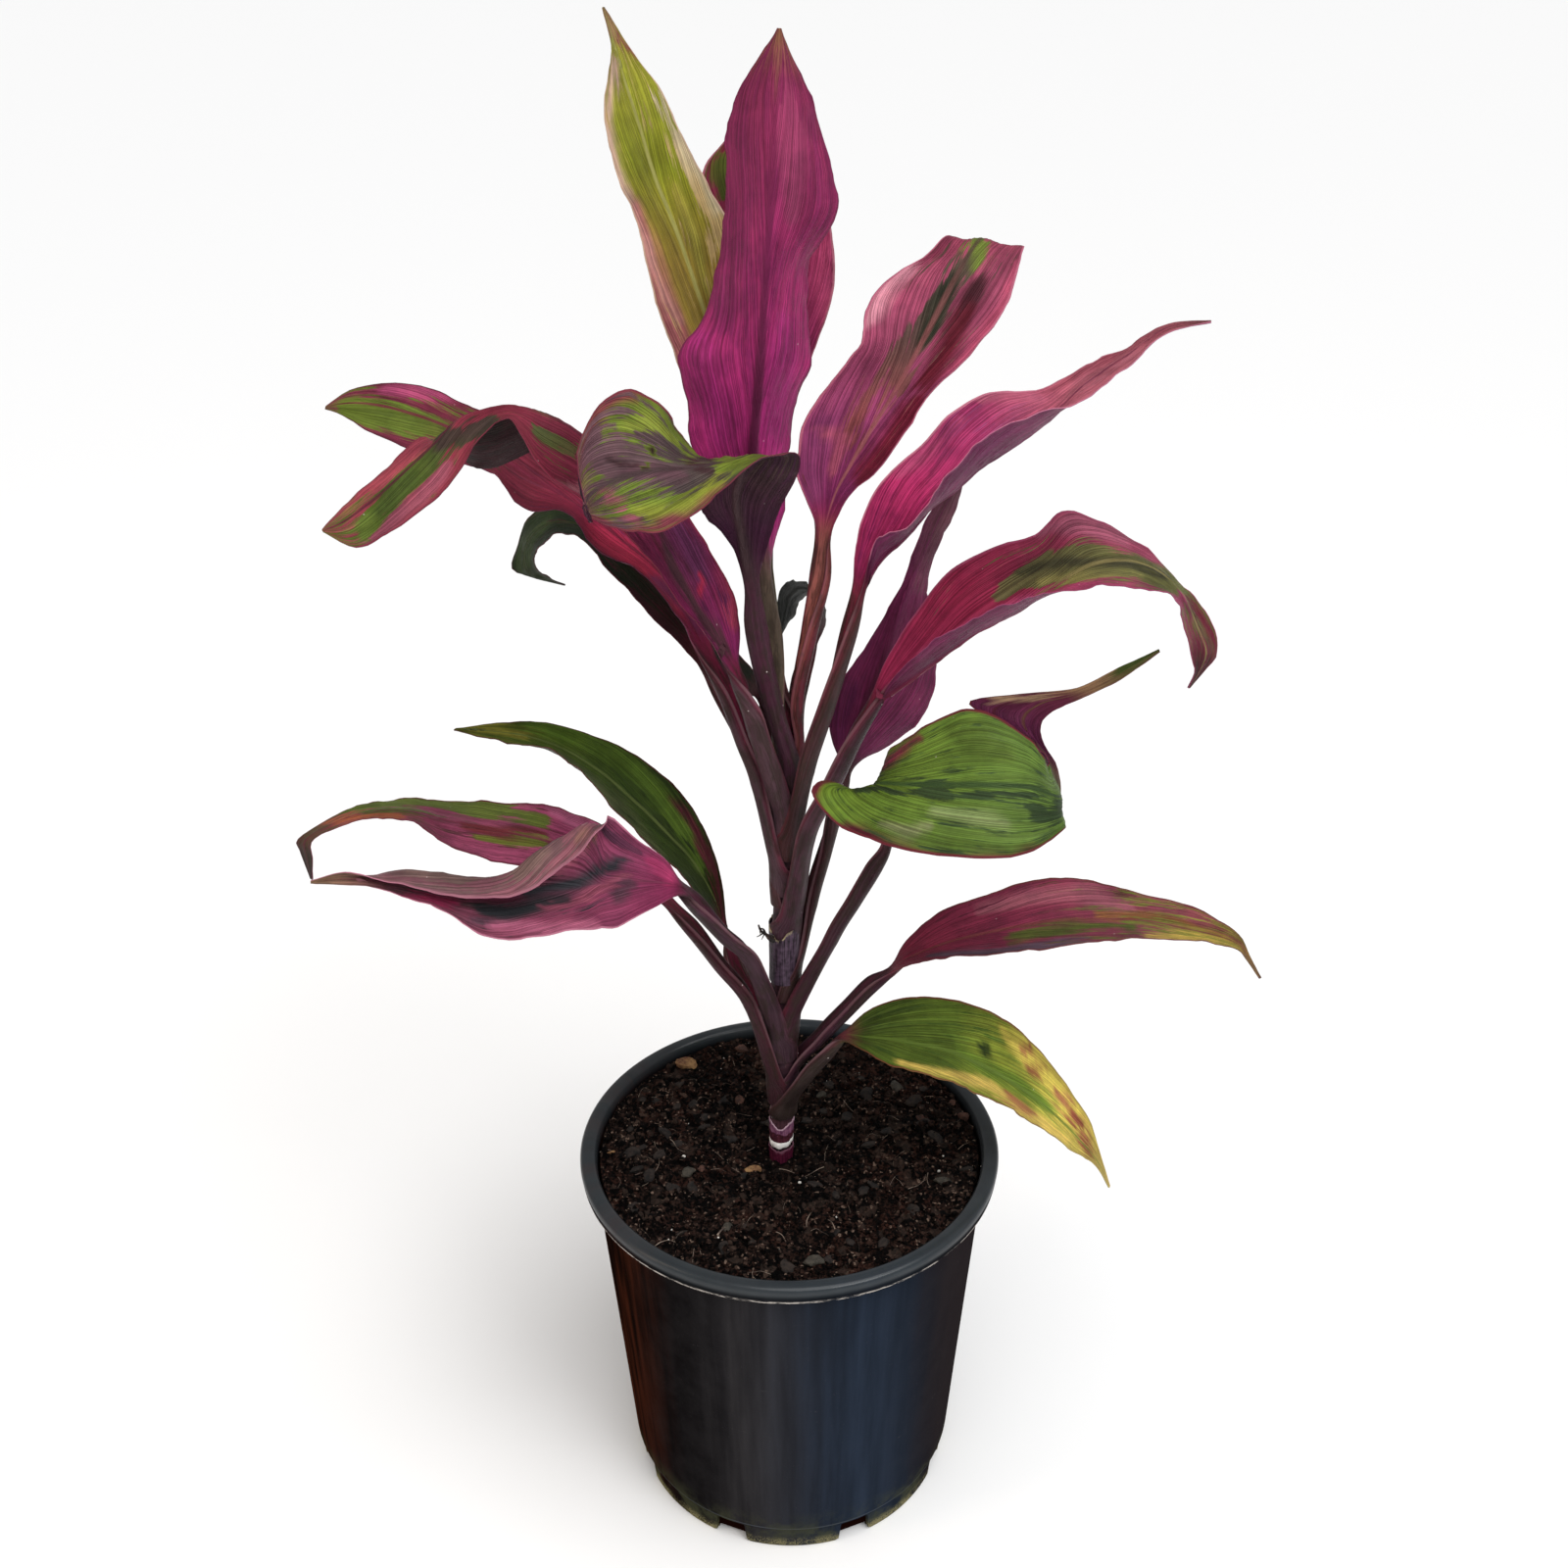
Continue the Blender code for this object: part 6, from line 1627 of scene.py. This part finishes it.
hole_x = stem_centre(SOIL_LEVEL).x
hole = stem_radius(SOIL_LEVEL)
soil_rings = [
    (hole + 0.6, -25.0, hole_x, 0.0), (hole + 0.6, -13.0, hole_x, 0.0), (hole + 0.4, -2.0, hole_x, 0.3),
]
for i in range(SOIL_RINGS):
    share = (i + 0.5) / SOIL_RINGS
    soil_rings.append((hole + 0.1 + (SOIL_EDGE - hole) * share, 0.0, hole_x * (1.0 - share), 1.0))
soil_rings += [
    (91.7, -2.0, 0.0, 0.6), (91.3, -8.0, 0.0, 0.0), (79.2, -162.5, 0.0, 0.0), (74.6, -166.5, 0.0, 0.0),
    (74.4, -175.5, 0.0, 0.0),
]

select_nothing()
bpy.ops.mesh.primitive_grid_add(x_subdivisions=SOIL_SIDES, y_subdivisions=len(soil_rings) - 1, size=1.0)
soil = named("potting_mix")
points = []
for radius, step, centre, on_top in soil_rings:
    for k in range(SOIL_SIDES + 1):
        angle = 2.0 * math.pi * (k % SOIL_SIDES) / SOIL_SIDES
        x = centre + radius * math.cos(angle)
        y = radius * math.sin(angle)
        top = soil_height(x, y) if on_top else SOIL_LEVEL
        points += [x * MM, y * MM, (SOIL_LEVEL + (top - SOIL_LEVEL) * on_top + step) * MM]
soil.data.vertices.foreach_set("co", points)
mend(soil, close=True)
smooth(soil, 35)
print("soil:", triangles(soil), "triangles")

# %% [markdown]
# The colour is nearly black brown and changes from crumb to crumb: some are damp and black,
# drier ones a little redder or greyer, and the broken faces carry pale specks. A cell pattern
# gives each crumb its own shade and its own small step in the bump.

# %% Soil material
def soil_look():
    look = Look("soil_mix")
    place = look.place()
    x, y, z = look.parts(place)
    big = look.cell_tone(place, 210.0)
    small = look.cell_tone(place, 560.0)
    grit = look.noise(place, 900.0, 4.0, 0.7)
    patches = look.noise(place, 34.0, 3.0, 0.6)
    tiny = look.cell_tone(place, 980.0)
    tone = big * 0.30 + small * 0.40 + tiny * 0.30 + (grit - 0.5) * 0.8
    look.colour = look.mix(look.ramp(tone, 0.38, 0.86), paint(3, 2, 2), paint(60, 44, 38))
    look.lay(look.ramp(patches, 0.40, 0.64) * 0.6, (1.30, 0.82, 0.72), "MULTIPLY")
    look.lay(look.ramp(big, 0.88, 0.93) * 0.6, paint(56, 47, 42))
    look.lay(look.ramp(small, 0.93, 0.96) * 0.7, paint(82, 66, 58))
    look.lay(look.ramp(tiny + (grit - 0.5) * 0.2, 0.965, 0.985) * 0.8, paint(140, 118, 104))
    # Painted shade: the mix is darker within about three centimetres of the middle, round the cane and under
    # the leaves.
    reach = look.maths("SQRT", x * x + y * y)
    look.lay((1.0 - look.ramp(reach, 0.008, 0.034)) * 0.55, paint(4, 3, 3))
    look.bump(grit * 0.8 + small * 0.9 + big * 0.5, 0.0016, 0.9)
    return look.finish(Base_Color=look.colour, Roughness=0.50 + small * 0.40, Specular_IOR_Level=0.06)


dress(soil, soil_look(), "potting_mix", "soil")

# %% [markdown]
# ## Chips, crumbs and grains
#
# Loose crumbs and bark chips lie on the mix, most of them as dark as it is, a few tan, reddish
# or grey where they broke. White grains of perlite show here and there. One rough stone shape is
# modelled for each kind and copied with its own size and turn, so every copy keeps a mesh of its
# own.

# %% Stone shapes
def rough_stone(name, subdivisions, jag, seed):
    """An uneven lump about one millimetre in radius."""
    select_nothing()
    bpy.ops.mesh.primitive_ico_sphere_add(subdivisions=subdivisions, radius=MM)
    stone = named(name)
    for vertex in stone.data.vertices:
        push = noise.noise(vertex.co * 1300.0 + Vector((seed, seed * 0.5, 0.0)))
        vertex.co *= 1.0 + jag * push
    return stone


def scatter(name, pattern, chance, places):
    """Joins copies of a pattern, laid at (x, y, length, width, thickness, turn, sink)."""
    copies = []
    for x, y, length, width, thick, turn, sink in places:
        copy = pattern.copy()
        copy.data = pattern.data.copy()
        bpy.context.collection.objects.link(copy)
        copy.scale = (length / 2.0, width / 2.0, thick / 2.0)
        copy.rotation_euler = (chance.uniform(-0.5, 0.5), chance.uniform(-0.5, 0.5), turn)
        copy.location = (x * MM, y * MM, (soil_height(x, y) + thick * sink) * MM)
        copies.append(copy)
    return join(name, copies, 20)


def soil_spot(chance, least, most):
    """A random place on the soil between two radii."""
    radius = math.sqrt(chance.uniform(least ** 2, most ** 2))
    angle = chance.uniform(0.0, 2.0 * math.pi)
    return radius * math.cos(angle), radius * math.sin(angle)


def sheet_spot(u, v):
    """The place on the soil that is seen at a sheet point."""
    near, far = sight(u, v, -100.0), sight(u, v, 100.0)
    level = SOIL_LEVEL
    for _ in range(4):
        spot = near.lerp(far, (level - near.z) / (far.z - near.z))
        level = dish(spot.x, spot.y)
    return spot.x, spot.y


# %% Loose pieces
FULL_TURN = 6.28         # two pi, near enough for a random turn
CRUMBS = 2600
DARK_CHIPS = 60
PERLITE = 22             # besides the grains that the viewer can see
chance = random.Random(41)


def strew(count, least, most, pick_size, long, thick, sink):
    """Random pieces between two radii, as scatter takes them."""
    laid = []
    for _ in range(count):
        x, y = soil_spot(chance, least, most)
        size = pick_size()
        laid.append((x, y, size * long, size, size * thick, chance.uniform(0.0, FULL_TURN), sink))
    return laid


crumb = rough_stone("crumb", 1, 0.5, 2.0)
crumb_sizes = (0.9, 1.2, 1.2, 1.6, 1.6, 2.2, 3.0, 4.2)
crumb_places = strew(CRUMBS, 7.0, 90.0, lambda: chance.choice(crumb_sizes), 1.35, 0.75, 0.12)
crumbs = scatter("soil_crumbs", crumb, chance, crumb_places)
dress(crumbs, bpy.data.materials["soil_mix"], "potting_mix")

chip = rough_stone("chip", 2, 0.55, 5.0)
dark_places = strew(DARK_CHIPS, 12.0, 87.0, lambda: chance.uniform(3.0, 7.0), 1.4, 0.5, 0.1)
dark_chips = scatter("dark_chips", chip, chance, dark_places)


def chip_look(name, first, second):
    look = Look(name)
    place = look.place()
    grain = look.noise(place, 500.0, 4.0, 0.65)
    patches = look.noise(place, 170.0, 3.0, 0.6)
    colour = look.mix(look.ramp(patches * 0.5 + grain * 0.5, 0.38, 0.62), first, second)
    look.bump(grain, 0.0012, 0.9)
    return look.finish(Base_Color=colour, Roughness=0.70 + grain * 0.25, Specular_IOR_Level=0.30)


dress(dark_chips, chip_look("dark_bark", paint(14, 11, 10), paint(52, 42, 37)), "potting_mix")

seen_chips = {
    "tan_chips": (
        (160, 124, 82), (98, 62, 44), (700, 1086, 12.0, 8.5, 6.0, -0.3), (768, 1193, 8.5, 4.0, 3.0, 0.15),
        (622, 1176, 6.0, 2.2, 1.6, 0.1),
    ),
    "red_chips": (
        (98, 66, 54), (52, 34, 31), (757, 1072, 8.0, 6.0, 4.5, 0.4), (755, 1122, 6.5, 5.0, 4.0, 1.2),
        (717, 1193, 5.5, 4.5, 3.0, 0.8), (972, 1125, 4.5, 3.5, 2.5, 1.2), (983, 1139, 6.5, 4.5, 4.0, 2.5),
        (942, 1142, 9.0, 4.5, 3.0, 0.3),
    ),
    "grey_chips": (
        (50, 48, 42), (78, 72, 64), (962, 1206, 9.0, 6.0, 3.5, 0.1), (830, 1288, 10.0, 6.5, 4.0, 0.5),
        (702, 1198, 7.5, 6.0, 3.5, 1.0), (838, 1118, 5.5, 4.0, 3.0, 0.0), (915, 1110, 8.0, 6.0, 3.5, 2.0),
        (742, 1252, 5.0, 4.0, 3.0, 0.7),
    ),
}
for name, (first, second, *marks) in seen_chips.items():
    laid = [(*sheet_spot(u, v), *sizes, 0.28) for u, v, *sizes in marks]
    chips = scatter(name, chip, chance, laid)
    dress(chips, chip_look(name.replace("chips", "bark"), paint(*first), paint(*second)), "potting_mix")

seen_grains = ((698, 1181, 2.0), (816, 1207, 1.9), (958, 1195, 1.7), (1002, 1190, 1.4), (733, 1262, 1.2))
grain_places = [
    (*sheet_spot(u, v), size, size * 0.9, size * 0.85, 0.3, 0.5) for u, v, size in seen_grains
]
grain_places += strew(PERLITE, 12.0, 88.0, lambda: chance.uniform(0.5, 1.0), 1.0, 1.0, 0.5)
perlite = scatter("perlite", crumb, chance, grain_places)
perlite_look = grainy_look(
    "perlite_grain", 1800.0, paint(196, 190, 180), paint(255, 252, 246), 0.85, bump=(0.0004, 0.9),
)
dress(perlite, perlite_look, "potting_mix")

# %% [markdown]
# Thin dry roots lie across the mix in loose curls, with one thicker pale twig. Each one is a
# thread through a wandering row of points just above the crumbs.

# %% Root fibres
LOOSE_FIBRES = 60        # besides those that the viewer can see
FIBRE_STEP = 2.5
FIBRE_REACH = 88.0       # no fibre goes further out than this


def add_fibre(start, heading, length, curl, radius, wander=0.35):
    x, y = start
    points = []
    steps = max(4, int(length / FIBRE_STEP))
    for i in range(steps):
        points.append((x, y, soil_height(x, y) + 0.7 + 0.5 * math.sin(i * 1.1)))
        heading += curl + chance.uniform(-wander, wander)
        x += FIBRE_STEP * math.cos(heading)
        y += FIBRE_STEP * math.sin(heading)
        reach = math.hypot(x, y)
        if reach > FIBRE_REACH:
            x, y = x * FIBRE_REACH / reach, y * FIBRE_REACH / reach
    return add_thread(points, radius)


seen_fibres = (
    (668, 1272, 0.5, 14.0, -0.1, 0.22), (732, 1260, 0.9, 11.0, 0.0, 0.55, 0.05),
    (823, 1252, 1.5, 16.0, -0.12, 0.2), (852, 1254, 1.5, 10.0, 0.05, 0.18),
    (684, 1162, -0.9, 16.0, 0.1, 0.2), (792, 1257, -0.4, 12.0, -0.1, 0.2),
    (648, 1200, 0.1, 10.0, 0.05, 0.18), (795, 1192, 0.0, 14.0, -0.15, 0.16),
    (612, 1176, 0.2, 12.0, -0.1, 0.2),
)
fibres = [add_fibre(sheet_spot(u, v), *course) for u, v, *course in seen_fibres]
for _ in range(LOOSE_FIBRES):
    fibres.append(add_fibre(
        soil_spot(chance, 14.0, 86.0), chance.uniform(0.0, FULL_TURN), chance.uniform(6.0, 18.0),
        chance.uniform(-0.25, 0.25), chance.uniform(0.07, 0.16),
    ))
fibres = join("root_fibres", fibres, 60)
fibre_look = grainy_look("dry_root", 120.0, paint(72, 58, 50), paint(170, 150, 134), 0.7, band=(0.35, 0.65))
dress(fibres, fibre_look, "potting_mix")
for pattern in (crumb, chip):
    bpy.data.objects.remove(pattern)
print("crumbs:", triangles(crumbs), "chips:", triangles(dark_chips), "fibres:", triangles(fibres))

# %% [markdown]
# ## The pot
#
# A nursery pot is one moulding of black polypropylene: a rolled rim, a thin tapered wall, a
# small step above a low foot ring, and slots in the foot that let water out. The wall is turned
# like the cane, with enough rings at the rim and the foot to round their corners.

# %% Pot body
POT_SIDES = 224
pot_profile = [
    (3.0, 5.0), (40.0, 5.0), (73.6, 5.0), (74.6, 5.3), (74.9, 6.4), (74.95, 12.8), (75.2, 14.2),
    (77.8, 15.9), (78.9, 16.9), (79.5, 18.6), (84.0, 74.0), (88.2, 130.0), (91.8, 177.0), (92.2, 180.5),
    (92.5, 184.0), (92.9, 187.2), (93.3, 188.6), (94.1, 189.5), (95.2, 189.95), (96.6, 190.05),
    (98.2, 189.95), (99.4, 189.6), (100.2, 188.9), (100.65, 187.9), (100.7, 186.8), (100.3, 183.6),
    (100.0, 181.9), (99.6, 181.3), (98.8, 181.05), (96.0, 181.2), (95.0, 181.3), (94.4, 181.0),
    (94.05, 180.3), (93.9, 179.0), (91.6, 148.0), (88.6, 108.0), (85.2, 62.0), (82.3, 22.0), (82.05, 18.6),
    (81.85, 16.6), (81.5, 15.2), (80.9, 14.4), (80.35, 13.6), (80.1, 12.2), (79.6, 6.0), (79.25, 1.6),
    (78.95, 0.5), (78.4, 0.0), (77.4, 0.0), (76.9, 0.3), (76.7, 1.0), (76.7, 2.7), (76.3, 3.0), (40.0, 3.0),
    (3.0, 3.0),
]
pot = turn_rings("nursery_pot", pot_profile, POT_SIDES)
print("pot:", triangles(pot), "triangles")

# %% [markdown]
# The slots are cut with tapered blocks, as the mould's inserts would leave them. A second, low
# and wide block rounds the lower corners of the feet.

# %% Foot slots
SLOTS = 8
SLOT_CUTS = ((-12.0, 18.4, 12.8, 14.4), (-3.0, 24.0, 1.6, 17.6))
SLOT_IN = 0.0761         # the slots' back wall, from the axis


def cut_slot(angle, bottom, low_width, top, top_width):
    """Cuts one tapered block out of the foot, square to the wall."""
    select_nothing()
    bpy.ops.mesh.primitive_cube_add(size=1.0, location=(SLOT_IN + 0.004, 0.0, 0.0))
    block = bpy.context.object
    block.scale = (0.008, 1.0, 1.0)
    settle(block)
    for vertex in block.data.vertices:
        high = vertex.co.z > 0.0
        vertex.co.y *= (top_width if high else low_width) * MM
        vertex.co.z = (top if high else bottom) * MM
    apply_modifier(block, "BEVEL", width=1.0 * MM, segments=3)
    block.rotation_euler = (0.0, 0.0, angle)
    settle(block)
    apply_modifier(pot, "BOOLEAN", operation="DIFFERENCE", object=block, solver="EXACT")
    bpy.data.objects.remove(block)


for i in range(SLOTS):
    turn = math.radians(-90.0 + 360.0 / SLOTS * (i + 0.5))
    for sizes in SLOT_CUTS:
        cut_slot(turn, *sizes)
smooth(pot, 38)
print("pot with slots:", triangles(pot), "triangles")

# %% [markdown]
# The plastic is black and satin. Its reflections are painted into the colour as upright bands: a brown
# one down the left side, a grey one left of the middle, a blue one right of it and a brownish grey
# one on the right. It has flow marks that run down from the rim, fine scuffs and scratches, pale
# scrapes under the lip, a rim that has gone grey with handling, painted lighter on its top and darker
# below, a painted highlight on the small step above the foot, painted shade inside the foot ring
# behind the slots, and dried soil on the foot and in the slots. Long thin noise along the height
# gives the flow marks and breaks up the painted reflections; the scrapes are thin noise that shows
# only near the lip.

# %% Pot material
def pot_look():
    look = Look("black_plastic")
    place = look.place()
    x, y, z = look.parts(place)
    around = look.maths("ARCTAN2", y, x)
    flow = look.stretched(around * 11.0, z * 9.0, 2.0, 5.0, 0.55)
    dust = look.noise(place, 60.0, 5.0, 0.65)
    specks = look.noise(place, 1400.0, 2.0, 0.6)
    scratch = look.stretched(around * 5.0 + z * 20.0, z * 260.0, 5.0, 4.0, 0.7)

    look.colour = look.mix(look.ramp(dust, 0.3, 0.7), paint(20, 18, 19), paint(32, 30, 31))
    sway = x + (flow - 0.5) * 0.02
    # Painted reflection: a brown band down the left side.
    warm_reflection = look.ramp(sway * -1.0, 0.050, 0.080)
    look.lay(warm_reflection, look.mix(look.ramp(flow, 0.36, 0.66), paint(18, 10, 8), paint(66, 32, 20)))
    # Painted reflection: a grey band left of the middle.
    grey = look.ramp(sway, -0.052, -0.012) * (1.0 - look.ramp(sway, -0.010, 0.030))
    look.lay(grey * 0.85, look.mix(look.ramp(flow, 0.25, 0.75), paint(44, 43, 46), paint(62, 60, 62)))
    # Painted reflection: a blue band right of the middle.
    blue_reflection = look.ramp(sway, -0.026, 0.036) * (1.0 - look.ramp(sway, 0.036, 0.082))
    look.lay(blue_reflection * 0.92, look.mix(look.ramp(flow, 0.25, 0.75), paint(36, 44, 56), paint(48, 58, 74)))
    # Painted reflection: a brownish grey band on the right side.
    side = look.ramp(sway, 0.052, 0.080)
    look.lay(side * 0.7, paint(48, 42, 44))
    scuffs = look.ramp(scratch, 0.66, 0.72) * look.ramp(specks, 0.45, 0.6)
    look.lay(scuffs * 0.16, paint(120, 118, 116))
    look.lay(look.ramp(specks, 0.70, 0.76) * 0.10, paint(150, 150, 150))
    reach = look.maths("SQRT", x * x + y * y)
    rim = look.ramp(z, 0.1815, 0.1835)
    handled = look.stretched(around * 9.0, z * 400.0, 7.0, 4.0, 0.65)
    # The rim goes grey with handling, and its light is painted too: lighter on its top, darker on its lower
    # face.
    rim_wear_and_light = look.mix(look.ramp(z, 0.1835, 0.1876), paint(22, 24, 27), paint(54, 60, 64))
    look.lay(rim * (0.55 + handled * 0.45), rim_wear_and_light)
    scrape = look.stretched(around * 14.0, z * 700.0, 1.0, 5.0, 0.75)
    edge = look.ramp(reach, 0.0975, 0.0985) * look.ramp(z, 0.1804, 0.1812)
    edge = edge * (1.0 - look.ramp(z, 0.1822, 0.1832))
    look.lay(edge * look.ramp(scrape, 0.44, 0.56), paint(206, 198, 190))
    # Painted highlight: a lighter band on the small step above the foot, where it faces up into the light.
    step = look.ramp(z, 0.0132, 0.0145) * (1.0 - look.ramp(z, 0.0150, 0.0166))
    look.lay(step * 0.45, paint(112, 118, 126))
    low = 1.0 - look.ramp(z, 0.010, 0.030)
    dirt = look.ramp(dust, 0.40, 0.60)
    look.lay(low * dirt * 0.55, paint(78, 80, 58))
    crust = (1.0 - look.ramp(z, 0.002, 0.008)) * look.ramp(specks * 0.5 + dust * 0.5, 0.44, 0.56)
    look.lay(crust * 0.9, paint(150, 142, 104))
    # Painted shade: dark red-brown on the inside of the foot ring, seen through the slots.
    inside = 1.0 - look.ramp(reach, 0.0768, 0.0778)
    look.lay(inside * (1.0 - look.ramp(z, 0.013, 0.016)), paint(26, 9, 6))
    look.bump(flow * 0.5 + specks * 0.25 + scuffs * 0.6 + rim * handled * 0.6, 0.0005, 0.35)
    rough = 0.27 + dust * 0.14 + scuffs * 0.2 + low * dirt * 0.4 + rim * handled * 0.12
    shine = look.ramp(z, 0.1845, 0.1875) * (0.35 + handled * 0.65) * look.ramp(reach, 0.090, 0.094)
    return look.finish(
        Base_Color=look.colour, Roughness=rough, Specular_IOR_Level=0.0,
        Coat_Weight=shine, Coat_Roughness=0.22, Coat_IOR=1.4,
    )


dress(pot, pot_look(), "pot_plastic", "pot")
